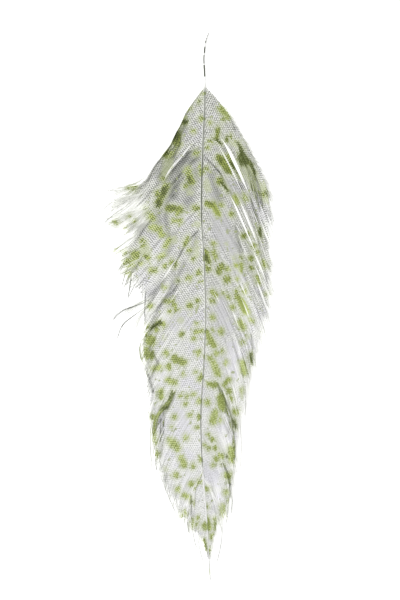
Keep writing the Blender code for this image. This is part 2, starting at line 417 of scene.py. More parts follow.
# Slits: the root of the barb that each follows, the shares at which it opens, is widest and
# closes, its width, and how far its upper side lifts over the lower one.
LEFT_SLITS = (
    (33.2, 0.1, 0.24, 0.48, 0.45, 0.4), (63.3, 0.3, 0.54, 0.78, 0.85, 0.4),
    (77, 0.38, 0.48, 0.6, 0.35, 0.2), (125, 0.3, 0.52, 0.74, 0.4, 0.3),
    (140.6, 0.1, 0.42, 1.1, 0.55, 0.3), (69.3, 0.36, 0.85, 1.2, 0.5, 0.8),
    (42, 0.84, 1.06, 1.6, 1.3, 0))
# Edges that curl up instead of lying out: the first and last roots of their barbs, then the
# edge by distance and aside.
LEFT_TUCKS = (
    (17.4, 36, ((23, -5), (26, -6.2), (28, -6.9), (30, -7.8), (32, -8.9), (34, -9.8), (36, -10.7),
                (38, -12.2), (40, -13.8), (42, -15.5), (44, -16.8), (47, -18.2), (50, -21.4))),
    (61.5, 82, ((76, -19.4), (79, -19.2), (84, -19.2), (88, -19.4), (92, -19.3), (96, -19.8),
                (102, -20.4))))
# Where a curled edge is painted paler than the web, as painted light over the shade of its
# rolled strands, by distance.
PAINTED_LIGHT_RIM = (38, 52)
PAINTED_LIGHT_RIM_GAIN = 1.3
# Marks in green, in dark green and in faint green: aside, distance and radius, or two ends and
# a radius. The dark green is green in painted shade, in the folds, rolls and double layers of the web.
LEFT_MARKS = (
    (-0.5, 19.5, 0.35), (-1.9, 22, 0.5), (-6.4, 28.7, 0.9), (-8.9, 35.4, 1.2), (-4.6, 24.2, 0.5),
    (-0.8, 27.6, 0.9), (-3.6, 31.6, 0.7), (-2.6, 38.6, 0.8), (-12.1, 38.9, 1.3), (-8.8, 33, 1),
    (-0.8, 42.6, -0.6, 45.4, 0.7), (-5.4, 44, -4, 47.6, 1), (-13.4, 46.8, 0.6),
    (-12.4, 49.2, -13.4, 52, 1.1), (-14.2, 52.8, -14.8, 55, 1), (-24.2, 50, -22.2, 49.8, 0.45),
    (-5.8, 49, 0.6), (-15, 51.5, 0.9), (-2.6, 93.6, 0.4), (-19, 56.2, 0.3),
    (-18, 58.4, -16.4, 59.6, 0.9), (-16.6, 62.2, -14.8, 62.8, 1.1), (-14.8, 62.8, -13.4, 64.8, 0.9),
    (-11.2, 56.2, -7.6, 56.6, 1), (-8.6, 58, 0.7), (-9.8, 60, -7.8, 60.6, 0.7),
    (-3.4, 56.2, -1.6, 56.4, 0.6), (-0.3, 57.8, 0.8), (-24, 59.2, 0.4), (-22.6, 60.4, 0.4),
    (-29, 60.6, -28, 61.4, 0.5), (-25.6, 63, 0.6), (-19.6, 66.8, 0.8), (-11.4, 66.4, -12.6, 68.8, 0.7),
    (-5.4, 66.2, -6.2, 67.8, 0.6), (-4.6, 69.6, 0.7), (-26, 70.4, 0.9), (-22.2, 71.4, 1.5),
    (-19.6, 68.4, 0.5), (-18.9, 71.4, -18.2, 72.6, 0.55), (-28.6, 69.8, 0.6), (-24.6, 77.4, 0.9),
    (-20.6, 74.2, 0.8), (-14.6, 72.2, -12.8, 71, 0.6), (-3.6, 72.6, 0.5), (-28, 70.8, 0.4),
    (-24.6, 73.8, -23.4, 74, 1.4), (-17.4, 76.2, -15.8, 76.2, 0.65), (-12.8, 75, 0.6),
    (-10.6, 73.8, -9.4, 74.2, 0.8), (-5, 78.8, 0.9), (-12.6, 81.8, 0.6), (-2, 77.2, 0.8),
    (-1, 79.8, 0.5), (-12.4, 86.2, -10.4, 86.4, 0.7), (-10.2, 86.8, -8.9, 88.8, 0.6),
    (-11.2, 89.6, 0.5), (-4.6, 87.6, 0.9), (-17.4, 87.6, 0.7), (-2.2, 86, 0.6), (-18.2, 94.4, 0.7),
    (-15.6, 95.4, 0.7), (-15.1, 93.2, -13, 93.8, 0.6), (-18.8, 97, 0.7), (-17.2, 99, 1.6),
    (-18.7, 101.6, 0.7), (-18.2, 103.3, -17.6, 103.6, 1.3), (-20.6, 102.6, -20.4, 104.4, 0.5),
    (-12.6, 103, 0.8), (-9.8, 104.8, -6.8, 106, 1), (-7.4, 97, 0.6), (-16.3, 107.9, -14.3, 107.6, 0.8),
    (-11.6, 107.4, 0.9), (-11.8, 111.6, -9.6, 112.6, 0.8), (-7, 109.8, 0.5), (-2.6, 108.8, 0.4),
    (-3, 96.2, -0.8, 95.8, 0.6), (-3.4, 98.2, 0.6), (-2.2, 103, 0.9), (-0.2, 109.8, -1.4, 111.2, 0.7),
    (-14, 115, -14, 117, 0.7), (-7.6, 116.6, 0.5), (-5.6, 116.8, 0.6), (-3.4, 116.2, 0.7),
    (-6, 119.2, 0.6), (-1.6, 118.4, 1), (-16.6, 123.6, 0.8), (-9.6, 123.4, 0.7), (-4.8, 123, 0.6),
    (-1.4, 123.4, 0.8), (-2.6, 126.8, -1.6, 126.8, 0.3), (-10.6, 126.6, 0.4), (-6, 130, 0.8),
    (-11.6, 130.6, 0.35), (-10.6, 131.4, -8.8, 133.4, 1.15), (-7.6, 136.4, -6.6, 138.8, 0.9),
    (-0.6, 137, 1), (-3.6, 139.2, 0.6), (-15.4, 135.2, 0.8), (-16.2, 128.8, -15.8, 131, 0.6),
    (-9.2, 142.2, 0.75), (-4.3, 145, 0.8), (-1.6, 144.4, 0.7), (-8.6, 146.8, 0.9),
    (-6.6, 148.4, -5, 149.4, 0.6), (-6.2, 154.2, 0.6), (-7.4, 155.4, 0.5), (-2.2, 156.2, 0.5),
    (-2.6, 158.4, 0.35), (-0.2, 163, 0.3, 165.8, 0.4), (0.3, 158.6, 1),
    (-3.6, 156.6, -3.9, 158.6, 0.25))
LEFT_DARK_MARKS = (
    (-12.7, 50, -13.3, 51.8, 0.8), (-14.6, 54, -14.9, 55.2, 0.65), (-24.2, 74, 0.3), (-9.4, 74.2, 0.4),
    (-8.6, 79.6, 0.4), (-14.4, 93.1, -17.6, 95.1, 0.35), (-10.4, 115.6, -11.2, 117.6, 0.4),
    (-13.6, 120.8, -12, 120.2, 0.4), (-1.6, 21.8, 0.3), (-6.3, 28.5, 0.6),
    (-8.8, 31.8, -9.5, 34.2, 0.7), (-12.2, 38.5, 0.5), (-4.8, 46.4, -4.4, 47.4, 0.3),
    (-4.1, 150.6, 0.3))
LEFT_FAINT_MARKS = (
    (-8.4, 31.6, -9.6, 38, 1.4), (-7.8, 35.8, 0.8), (-23.4, 50.5, 0.9), (-2.4, 61.6, 0.9),
    (-9.6, 66.5, 0.9), (-18.8, 69.6, 1.7), (-11.2, 40.4, -12.4, 44.6, 1.2),
    (-2.3, 66.8, -2.4, 71.4, 0.6), (-4.6, 90.6, 0.5), (-7.6, 92.2, 0.9), (-12.4, 140.2, 0.5),
    (-4.5, 51.2, 0.8), (-13, 98, 0.6))
# Painted shade: grey bands where the web folds or lies double, and dark lines of painted shadow
# beside slits: half width, strength, then points on the way.
LEFT_SHADE_BANDS = (
    (2.2, 0.62, -3, 39.8, -5.8, 41.6, -7.8, 44.6, -9.4, 48, -10.4, 52),
    (2, 0.42, -2.8, 44.5, -4.6, 50, -5.4, 55),
    (0.3, 0.8, -1.2, 38.2, -5.1, 39.9, -8.1, 43.9, -10.3, 47.3, -11.6, 50),
    (1.1, 0.45, -8.7, 40.8, -11, 47.6, -12, 53.6, -12.4, 59.8, -11.6, 66),
    (0.3, 0.7, -1.6, 37.2, -6.4, 38.8, -9.9, 41.8), (0.3, 0.6, -1.8, 40.4, -5, 43.2, -7, 47),
    (0.3, 0.6, -11.4, 45, -13, 48.4),
    (0.35, 0.95, -2.2, 63.8, -4.4, 66, -6.6, 69, -8, 71.6, -9.2, 73.4),
    (0.8, 0.36, -13.4, 79.6, -16, 83.4, -18.2, 86.6), (0.9, 0.26, -9.6, 76, -10.6, 82),
    (0.9, 0.3, -6.4, 74, -9.6, 80, -11, 82), (0.5, 0.35, -16, 83, -18.4, 87),
    (0.35, 0.7, -17.8, 100.2, -17.1, 102, -14.7, 106.6),
    (0.35, 0.8, -18.8, 108, -17.7, 111, -16.5, 115.5), (0.3, 0.7, -14, 124, -14.2, 131),
    (0.3, 0.5, -13.2, 122, -13.2, 129), (0.25, 0.45, -4.3, 148.6, -4.2, 154, -4, 157),
    (1.6, 0.4, -7, 30, -9.4, 35, -12, 39), (0.3, 0.6, -0.6, 18, -2.2, 20.2, -4.4, 23.4),
    (2, 0.8, -11, 40, -12.2, 43.2, -13.6, 45.8), (1.8, 0.3, -14.4, 54.5, -15, 58.5, -14.8, 63),
    (1.4, 0.3, -10, 65, -12.2, 71), (1.4, 0.4, -10.6, 46, -11.8, 51.5), (0.9, 0.3, -2.6, 66, -4.4, 71),
    (0.3, 0.9, -6.4, 27, -8, 30.6, -10.2, 35.2, -12.4, 38.8), (0.35, 0.8, -4.4, 23.6, -6.4, 27))
# Locks that curl up more than the rest, by root: the height that their ends reach.
LEFT_CURLS = (
    (17.4, 4.6), (24, 3.8), (30, 2.8), (70, 2.8), (76, 3.2), (82, 2.8), (104, 3.2), (110, 2.8))
# Where the fan is, by root: the locks open early and thin out to hairs.
LEFT_FAN = (17.4, 52)
# Where the web lies smooth and shows little of its lattice, written as marks are.
LEFT_CALM = (
    (-9, 56, -6, 60, 2.6), (-10, 90, -6, 94, 3.2), (-12, 110, 3), (-8, 122, -5, 128, 3.4),
    (-8, 100, 2.5), (-13, 91.5, -9, 95.5, 2.8), (-5, 141, -6, 152, 2.6), (-10, 64, 2),
    (-11.4, 53.4, -13.1, 60, 1.8), (-13.1, 60, -14.5, 67, 1.8))
LEFT_SEED = 31


def smooth(share):
    """0 below 0, 1 above 1, and a smooth slope between them."""
    share = np.clip(share, 0, 1)
    return share * share * (3 - 2 * share)


class Vane:
    """One side of the feather, -1 or 1: where its barbs run and how they part into locks."""

    def __init__(self, side, barbs, slits, curls, seed, tucks=(), fan=(0, 0)):
        self.side = side
        self.barbs = barbs
        self.curls = curls
        self.tucks = tucks
        self.fan = fan
        self.chance = np.random.default_rng(seed)
        self.roots = np.arange(barbs[0][0], barbs[-1][0], BARB_SPACING)
        self.roots += self.chance.uniform(-ROOT_JITTER, ROOT_JITTER, len(self.roots))
        self.slits = list(slits) + self.fine_slits()
        self.cut_locks([slit[0] for slit in slits])

    def fine_slits(self):
        """Narrow slits near the edge, wherever they happened to open."""
        slits = []
        first_root = self.roots[0] + FINE_SLITS_FROM
        for root in self.chance.uniform(first_root, FINE_SLITS_TO, FINE_SLITS):
            opens = self.chance.uniform(*FINE_OPENS)
            widest = opens + self.chance.uniform(*FINE_WIDENS)
            closes = self.chance.choice((widest + 0.15, 1.3))
            width = self.chance.uniform(*FINE_WIDTH)
            if not any(first < root < last for first, last, _ in self.tucks):
                slits.append((root, opens, widest, closes, width, FINE_LIFT))
        return slits

    def cut_locks(self, ends):
        """Gives every barb its lock: the lock's middle, and when and how far it closes up."""
        count = len(self.roots)
        at = self.roots[0]
        while at < self.roots[-1]:
            at += self.chance.uniform(*LOCK_SPAN)
            if min(abs(at - end) for end in ends) > LOCK_APART:
                ends = ends + [at]
        ends = np.array(sorted(ends) + [self.roots[-1] + 1])
        lock = np.searchsorted(ends, self.roots)
        starts = np.concatenate([[self.roots[0] - 0.3], ends])
        self.middle = (starts[lock] + starts[lock + 1]) / 2
        self.half = (starts[lock + 1] - starts[lock]) / 2
        self.fanned = smooth((self.fan[1] - self.roots) / FAN_FADE) * (self.roots > self.fan[0] - 1)
        locks = len(ends) + 1
        self.opens = self.chance.uniform(*LOCK_OPENS, locks)[lock]
        self.opens -= FAN_OPENS_EARLIER * self.fanned
        self.tip_width = self.chance.uniform(*LOCK_TIP, locks)[lock]
        self.tip_width -= FAN_THINNER * self.fanned
        short = self.chance.random(count) ** 1.2 * (SHORT_BY + FAN_SHORT_BY * self.fanned)
        self.reach = self.chance.uniform(*LOCK_REACH, locks)[lock] * (FULL_REACH - short)
        overlong = self.chance.random(count) < LONG_CHANCE
        self.reach += overlong * self.chance.uniform(*LONG_BY, count)
        self.rise = self.chance.uniform(*LOCK_RISE, locks)[lock]
        for root, height in self.curls:
            near = lock[np.argmin(abs(self.roots - root))]
            self.rise = np.where(lock == near, height, self.rise)
        self.frays = self.chance.uniform(*FRAYS, count) - FAN_FRAYS_EARLIER * self.fanned
        self.tone = self.chance.random(count)
        self.stray = self.chance.normal(0, STRAY + FAN_STRAY * self.fanned, count)
        clump = np.cumsum(self.chance.random(count) < CLUMP_CHANCE)
        centre = np.bincount(clump, self.roots) / np.bincount(clump)
        self.clump_middle = centre[clump]
        self.paler = PALER_MEAN + PALER_SWING * np.sin(self.clump_middle * PALER_PITCH)

    def lines(self):
        """Millimetres aside and from the quill's end, headings and shares of the barbs."""
        columns = [[(row[0], row[k]) for row in self.barbs] for k in range(1, 5)]
        leave, run, end, length = (flowing(column, self.roots)[:, None] for column in columns)
        shares = np.linspace(0, 1, STATIONS)[None, :] * self.reach[:, None]
        angle = run + (leave - run) * np.exp(-shares / SETTLE_SHARE)
        angle = np.radians(angle + (end - run) * shares**FLARE_POWER)
        steps = np.diff(shares, axis=1) * length
        half = (angle[:, 1:] + angle[:, :-1]) / 2
        zero = np.zeros((len(self.roots), 1))
        sideways = np.concatenate([zero, np.cumsum(np.sin(half) * steps, axis=1)], axis=1)
        forward = np.concatenate([zero, np.cumsum(np.cos(half) * steps, axis=1)], axis=1)
        strayed = np.clip((shares - STRAYS_FROM) / STRAYS_OVER, 0, 1.3)
        bent = self.stray[:, None] * strayed**2
        sideways += bent * np.cos(angle)
        forward -= bent * np.sin(angle)
        aside = flowing(SHAFT_ASIDE, self.roots)[:, None] + self.side * sideways
        self.lay = np.cumsum(np.sin(np.radians(run[:, 0])) * np.gradient(self.roots))
        return aside, self.roots[:, None] + forward, angle, shares, length

    def shifts(self, shares, angle):
        """How far along the shaft each point moves, to close its lock and open the slits."""
        opened = np.clip((shares - self.opens[:, None]) / (1 - self.opens[:, None]), 0, 1.2)
        offset = (self.roots - self.middle)[:, None]
        shift = -offset * (1 - self.tip_width[:, None]) * opened**CLOSING_POWER
        gathered = CLUMPS_CLOSE * smooth((shares - CLUMPS_FROM) / CLUMPS_OVER)
        shift -= (self.roots - self.clump_middle)[:, None] * gathered
        for root, opens, widest, closes, width, _ in self.slits:
            from_slit = (self.roots - root)[:, None]
            pushed = np.sign(from_slit) * np.exp(-abs(from_slit) / SLIT_REACH)
            swell = self.swell(shares, opens, widest, closes)
            shift += pushed * swell * width / 2 / np.maximum(np.sin(angle), 0.2)
        return shift

    def swell(self, shares, opens, widest, closes):
        """How far open a slit is at each share: 0 where it is closed, 1 where it is widest."""
        rising = smooth((shares - opens) / (widest - opens))
        return rising * smooth((closes - shares) / (closes - widest))

    def heights(self, shares):
        """Height above the table, in millimetres, of the middle of each strand."""
        at_shaft = (flowing(SHAFT_HEIGHT, self.roots) - BELOW_SHAFT)[:, None]
        slope = 1 - smooth(shares / SLOPE_SHARE)
        risen = smooth((shares - RISE_FROM_SHARE) / (1 - RISE_FROM_SHARE))
        across = ((self.roots - self.middle) / self.half)[:, None]
        pleat = PLEAT * (1 - across**2) * smooth(shares / PLEAT_GROWS)
        pleat *= smooth((PLEAT_ENDS - shares) / PLEAT_FADES)
        ripple = np.sin(self.roots[:, None] / RIPPLE_ACROSS + shares * RIPPLE_ALONG) * RIPPLE
        height = at_shaft * slope + MID_HEIGHT + pleat + ripple * smooth(shares / 0.2)
        for root, opens, widest, closes, _, lift in self.slits:
            above = np.clip((root - self.roots)[:, None], 0, None)
            near = (above > 0) * np.exp(-above / OVERLAP_REACH)
            height = height + lift * near * self.swell(shares, opens, widest, closes)
        return np.maximum(height + self.rise[:, None] * risen, LOWEST)

    def tuck(self, aside, distance, height):
        """Turns up what lies past the curled edges."""
        self.tucked = np.zeros(aside.shape)
        for first, last, edge in self.tucks:
            rims = np.array(edge, float)
            rim = np.interp(distance, rims[:, 0], rims[:, 1])
            inside = (distance > rims[0, 0]) & (distance < rims[-1, 0])
            ours = ((self.roots >= first) & (self.roots <= last))[:, None]
            over = np.clip(self.side * (aside - rim), 0, None) * inside * ours
            self.tucked = np.maximum(self.tucked, smooth(over))
            height = height + TUCK_RISE * np.minimum(over, 3)
            aside = aside - self.side * over * TUCK_DRAWN
        return aside, height


def apart(points_x, points_y, x0, y0, x1, y1):
    """Distance of points from the line between two ends."""
    dx, dy = x1 - x0, y1 - y0
    long = max(dx * dx + dy * dy, 1e-9)
    t = np.clip(((points_x - x0) * dx + (points_y - y0) * dy) / long, 0, 1)
    return np.hypot(points_x - x0 - t * dx, points_y - y0 - t * dy)


def nearest_mark(aside, distance, marks):
    """How far outside the nearest mark's rim each point is, and negative inside it."""
    rim = np.full(aside.shape, NO_MARK)
    for mark in marks:
        ends = mark[:2] + mark[-3:-1]
        near = abs(distance - (ends[1] + ends[3]) / 2) < MARK_REACH
        rim[near] = np.minimum(rim[near], apart(aside[near], distance[near], *ends) - mark[-1])
    return rim


def band_shade(aside, distance, bands):
    """How much painted shade the folds lay on each point, from 0 to 1."""
    shade = np.zeros(aside.shape)
    for band in bands:
        width, strength = band[:2]
        way = [band[k:k + 2] for k in range(2, len(band), 2)]
        away = np.min([apart(aside, distance, *a, *b) for a, b in zip(way, way[1:])], axis=0)
        shade = np.maximum(shade, strength * smooth(1 - away / (width * 1.6)))
    return shade


def strand_mesh(name, blocks):
    """One mesh of closed three-sided strands, from blocks of equally long rows of stations.

    A block holds, by strand and station, the middle, the way across, the width, the height of
    the crest, a UV place and the values painted on.
    """
    places, faces, uvs, values = [], [], [], {}
    first = 0
    for block in blocks:
        middle, across, width = block["middle"], block["across"], block["width"][..., None]
        lift = np.zeros_like(middle)
        lift[..., 2] = 1
        crest = block["crest"][..., None]
        edge = (across * width + lift * block["tilt"]) * MM / 2
        section = np.stack([middle + edge, middle + lift * crest * MM, middle - edge], axis=2)
        count, stations = middle.shape[:2]
        index = first + np.arange(count * stations * 3).reshape(count, stations, 3)
        around = np.roll(index, -1, axis=2)
        quads = np.stack([index[:, :-1], around[:, :-1], around[:, 1:], index[:, 1:]], axis=-1)
        faces += quads.reshape(-1, 4).tolist()
        faces += index[:, 0, ::-1].tolist() + index[:, -1].tolist()
        places.append(section.reshape(-1, 3))
        uvs.append(np.repeat(block["uv"].reshape(-1, 2), 3, axis=0))
        for key, value in block["values"].items():
            values.setdefault(key, []).append(np.repeat(value.reshape(-1), 3))
        first += count * stations * 3
    mesh = bpy.data.meshes.new(name)
    places = np.concatenate(places)
    mesh.from_pydata(places, [], faces)
    corners = np.empty(len(mesh.loops), np.int32)
    mesh.loops.foreach_get("vertex_index", corners)
    low, high = places.min(axis=0), places.max(axis=0)
    plan = (places[:, :2] - low[:2]) / max(high[:2] - low[:2])
    for layer, table in (("OFBake", plan), ("web", np.concatenate(uvs))):
        mesh.uv_layers.new(name=layer).data.foreach_set("uv", table[corners].ravel())
    for key, value in values.items():
        painted = mesh.attributes.new(key, "FLOAT", "POINT")
        painted.data.foreach_set("value", np.concatenate(value).astype(np.float32))
    return mesh


def sides_of(middle):
    """The level way across strands, from their middles."""
    way = np.gradient(middle, axis=-2)
    across = np.stack([-way[..., 1], way[..., 0], np.zeros(way.shape[:-1])], axis=-1)
    return across / np.linalg.norm(across, axis=-1, keepdims=True)


def spacing(vane, aside, distance, angle):
    """How far each barb lies from its neighbour."""
    off = np.gradient(distance, axis=0) * np.sin(angle)
    return abs(off - np.gradient(aside, axis=0) * vane.side * np.cos(angle))


def vane_blocks(vane, marks, dark, faint, bands, calm):
    """The strands of a vane, with the places of its marks and folds painted on them."""
    aside, distance, angle, shares, length = vane.lines()
    design = spacing(vane, aside, distance, angle)
    distance = distance + vane.shifts(shares, angle)
    web = spacing(vane, aside, distance, angle)
    web = np.clip(np.clip(web, 0.5 * design, 1.2 * design) * STRAND_OVERLAP, *WEB_WIDTH)
    frayed = smooth((shares - vane.frays[:, None]) / FRAY_SHARE)
    width = web * (1 - frayed) + HAIR_WIDTH * frayed
    aside, height = vane.tuck(aside, distance, vane.heights(shares))
    vane.laid = aside, distance, height, angle, shares
    middle = in_frame(aside, distance, height)
    across = sides_of(middle)
    slip = vane.chance.normal(0, SLIP, len(vane.roots))[:, None]
    seen_aside = aside + slip * np.sin(angle) * vane.side
    seen_distance = distance + slip * np.cos(angle)
    rims = [nearest_mark(seen_aside, seen_distance, group) for group in (marks, dark, faint)]
    streak = 0.5 + vane.tone[:, None]
    along = shares * length
    painted_light_rim = smooth((distance - PAINTED_LIGHT_RIM[0]) / 2) * smooth((PAINTED_LIGHT_RIM[1] - distance) / 3)
    values = {
        "rim": np.minimum(rims[0], rims[1]), "dark_rim": rims[1], "faint_rim": rims[2],
        # Painted shade where the web folds or lies double, streaky from barb to barb.
        "fold": np.clip(band_shade(aside, distance, bands) * streak, 0, 1),
        "calm": smooth(-nearest_mark(aside, distance, calm) / 2.5),
        # Paler streaks of barbs, and painted light on the curled edge.
        "streak": smooth((shares - 0.3) / 0.4) * vane.paler[:, None]
        + PAINTED_LIGHT_RIM_GAIN * vane.tucked * painted_light_rim,
        "loose": frayed * (1 - vane.tucked),
        "tone": np.repeat(vane.tone[:, None], STATIONS, axis=1)}
    uv = np.stack([np.broadcast_to(vane.lay[:, None], along.shape), along], axis=-1)
    blocks = []
    long = length[:, 0] >= SHORT_BARB
    for chosen, stride in ((long, 1), (~long, 2)):
        pick = np.ix_(np.flatnonzero(chosen), np.arange(0, STATIONS, stride))
        blocks.append({
            "middle": middle[pick], "across": across[pick], "width": width[pick],
            "tilt": STRAND_TILT * vane.side, "crest": CREST * (1 - 0.4 * frayed[pick]), "uv": uv[pick],
            "values": {key: value[pick] for key, value in values.items()}})
    return blocks


WEB_DARK = (0.22, 0.225, 0.195, 1.0)
WEB_LIGHT = (0.92, 0.93, 0.88, 1.0)
WEB_TIP_DARK = (0.60, 0.61, 0.585, 1.0)
WEB_TIP_LIGHT = (1.0, 1.0, 0.99, 1.0)
NO_TINT = (1.0, 1.0, 1.0, 1.0)
COOL_TINT = (0.95, 0.94, 1.0, 1.0)
GREEN_DARK = (0.085, 0.112, 0.014, 1.0)
GREEN_LIGHT = (0.51, 0.59, 0.155, 1.0)
GREEN_TIP_DARK = (0.22, 0.27, 0.055, 1.0)
GREEN_TIP_LIGHT = (0.61, 0.69, 0.275, 1.0)
GREEN_PALE = (0.76, 0.82, 0.50, 1.0)
# Green in painted shade, for the dark green marks and the folded locks.
GREEN_DEEP = (0.045, 0.065, 0.007, 1.0)
GREEN_FAINT = (0.56, 0.61, 0.36, 1.0)
GREEN_FLECK = (0.40, 0.45, 0.22, 1.0)
# The grey of painted shade in folds and overlaps, which dark hairs also darken towards.
SHADE_AND_DARK_HAIR_GREY = (0.085, 0.095, 0.066, 1.0)
HAIR_GREY = (0.34, 0.345, 0.315, 1.0)
HAIR_PALE = (0.58, 0.59, 0.56, 1.0)
HAIR_WHITE = (1.0, 1.0, 0.98, 1.0)
# What is painted on the strands: how far they are from the rims of green, dark green and faint
# green marks, their painted shade in folds and how dark a hair is, how loose, which tone, how
# smooth and how streaked they are.
PAINTED = ("rim", "dark_rim", "faint_rim", "fold", "loose", "tone", "calm", "streak")
NOISE_SCALES = {"coarse": 140.0, "fleck": 520.0, "fine": 2200.0}
NOISE_DETAILS = {"coarse": 3.0, "fleck": 2.0, "fine": 1.0}
# The lattice of barbules: its period in millimetres, how far it wanders and how deep it is.
LATTICE_PERIOD = 0.7
LATTICE_WANDER = 3.0
LATTICE_DEPTH = 0.8
FINE_DEPTH = 1.8
# Between which places along the frame, in metres, the web pales towards the tip.
TIP_PALES = (0.045, -0.06)
# How strongly the flecks, the faint marks and halos, and the dark marks in painted shade show.
FLECK_STRENGTH = 0.8
HALO_STRENGTH = 0.6
DEEP_STRENGTH = 0.75


def vane_keratin(name):
    """Pale grey keratin: light and dark barbules in a fine lattice, ragged green marks, and painted
    shade in folds.
    """
    material, shader, wire = new_material(name)
    web = wire.node("UVMap", {"uv_map": "web"})
    lay = wire.node("SeparateXYZ", {}, {0: web}, out=0)
    along = wire.node("SeparateXYZ", {}, {0: web}, out=1)
    painted = {key: wire.node("Attribute", {"attribute_name": key}, out=2) for key in PAINTED}
    place = wire.node("TexCoord", out=3)
    way = wire.node("SeparateXYZ", {}, {0: place}, out=1)
    coarse, fleck, fine = (
        wire.node("TexNoise", {}, {"Vector": place, "Scale": scale, "Detail": NOISE_DETAILS[key]})
        for key, scale in NOISE_SCALES.items())
    rough = coarse - 0.5
    grit = fine - 0.5
    wander = rough * LATTICE_WANDER
    pitch = math.tau / LATTICE_PERIOD
    lattice = (lay * pitch + wander).wave() * (along * pitch + wander).wave()
    lively = 1.0 - painted["calm"] * 0.8
    speckle = 0.51 + (lattice * LATTICE_DEPTH + grit * FINE_DEPTH) * lively
    speckle = speckle + (painted["tone"] - 0.5) * 0.25 + painted["streak"] * 0.35
    speckle = speckle.step(0.0, 1.0)
    to_tip = way.step(*TIP_PALES)
    grey = speckle.blend(to_tip.blend(WEB_DARK, WEB_TIP_DARK),
                         to_tip.blend(WEB_LIGHT, WEB_TIP_LIGHT))
    tint = (coarse + painted["calm"] * 0.08).step(0.46, 0.62).blend(NO_TINT, COOL_TINT)
    cooled = {0: 1.0, 6: grey, 7: tint}
    grey = wire.node("Mix", {"data_type": "RGBA", "blend_type": "MULTIPLY"}, cooled, out=2)
    hair = to_tip.blend(HAIR_GREY, HAIR_PALE)
    dotted = painted["tone"] + fine * 0.8 + lattice * 0.35 + 0.15
    hair = dotted.step(0.2, 0.95).blend(hair, WEB_LIGHT)
    hair = painted["tone"].step(1.2, 1.6).blend(hair, HAIR_WHITE)
    grey = painted["loose"].blend(grey, hair)
    # Painted shade in folds darkens the web, and dark hairs darken the same way.
    grey = (painted["fold"] * (0.5 + fine * 1.1)).blend(grey, SHADE_AND_DARK_HAIR_GREY)
    ragged = rough * 0.9 + grit * 1.2 + lattice * 0.15 - 0.26
    halo = 1.0 - (painted["rim"] + ragged * 0.7).step(-0.3, 1.6)
    mark = 1.0 - (painted["rim"] + ragged).step(-0.55, 0.25)
    deep = 1.0 - (painted["dark_rim"] + ragged).step(-0.7, 0.5)
    pale = 1.0 - (painted["faint_rim"] + ragged).step(-0.6, 0.7)
    grey = (pale * HALO_STRENGTH).blend(grey, GREEN_FAINT)
    grey = (halo * HALO_STRENGTH).blend(grey, GREEN_FAINT)
    flecked = fleck.step(0.635, 0.70) * (1.0 - painted["loose"])
    grey = (flecked * FLECK_STRENGTH).blend(grey, GREEN_FLECK)
    leaf = speckle * 0.95 + rough * 1.7 + painted["rim"] * 0.15 + 0.06
    sunny = leaf.step(0.75, 1.2) * 0.85
    leaf = leaf.step(0.0, 0.95).blend(
        to_tip.blend(GREEN_DARK, GREEN_TIP_DARK), to_tip.blend(GREEN_LIGHT, GREEN_TIP_LIGHT))
    # The dark green marks and folded locks: green darkened with painted shade.
    leaf = (deep * DEEP_STRENGTH).blend(sunny.blend(leaf, GREEN_PALE), GREEN_DEEP)
    attach(shader, "Base Color", mark.blend(grey, leaf))
    attach(shader, "Roughness", 0.5 + speckle * 0.2)
    relief = {"Strength": 0.25, "Distance": BUMP_DEPTH, "Height": speckle}
    attach(shader, "Normal", wire.node("Bump", {}, relief))
    return material


left = Vane(-1, LEFT_BARBS, LEFT_SLITS, LEFT_CURLS, LEFT_SEED, LEFT_TUCKS, LEFT_FAN)
left_strands = vane_blocks(left, LEFT_MARKS, LEFT_DARK_MARKS, LEFT_FAINT_MARKS, LEFT_SHADE_BANDS,
                           LEFT_CALM)
vane_paint = vane_keratin("vane_keratin")
left_vane = new_piece("left_vane", strand_mesh("left_vane", left_strands), vane_paint)
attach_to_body(left_vane, "root")
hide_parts("feather")


# --- Loose locks of the left vane: barbs of the same keratin that came unhooked from the rest and
# lie over it. The first are rolled in along the upper edge, others are folded back or curl down
# the edge, and a few pale ones cross the web.

LOCK_STATIONS = 41
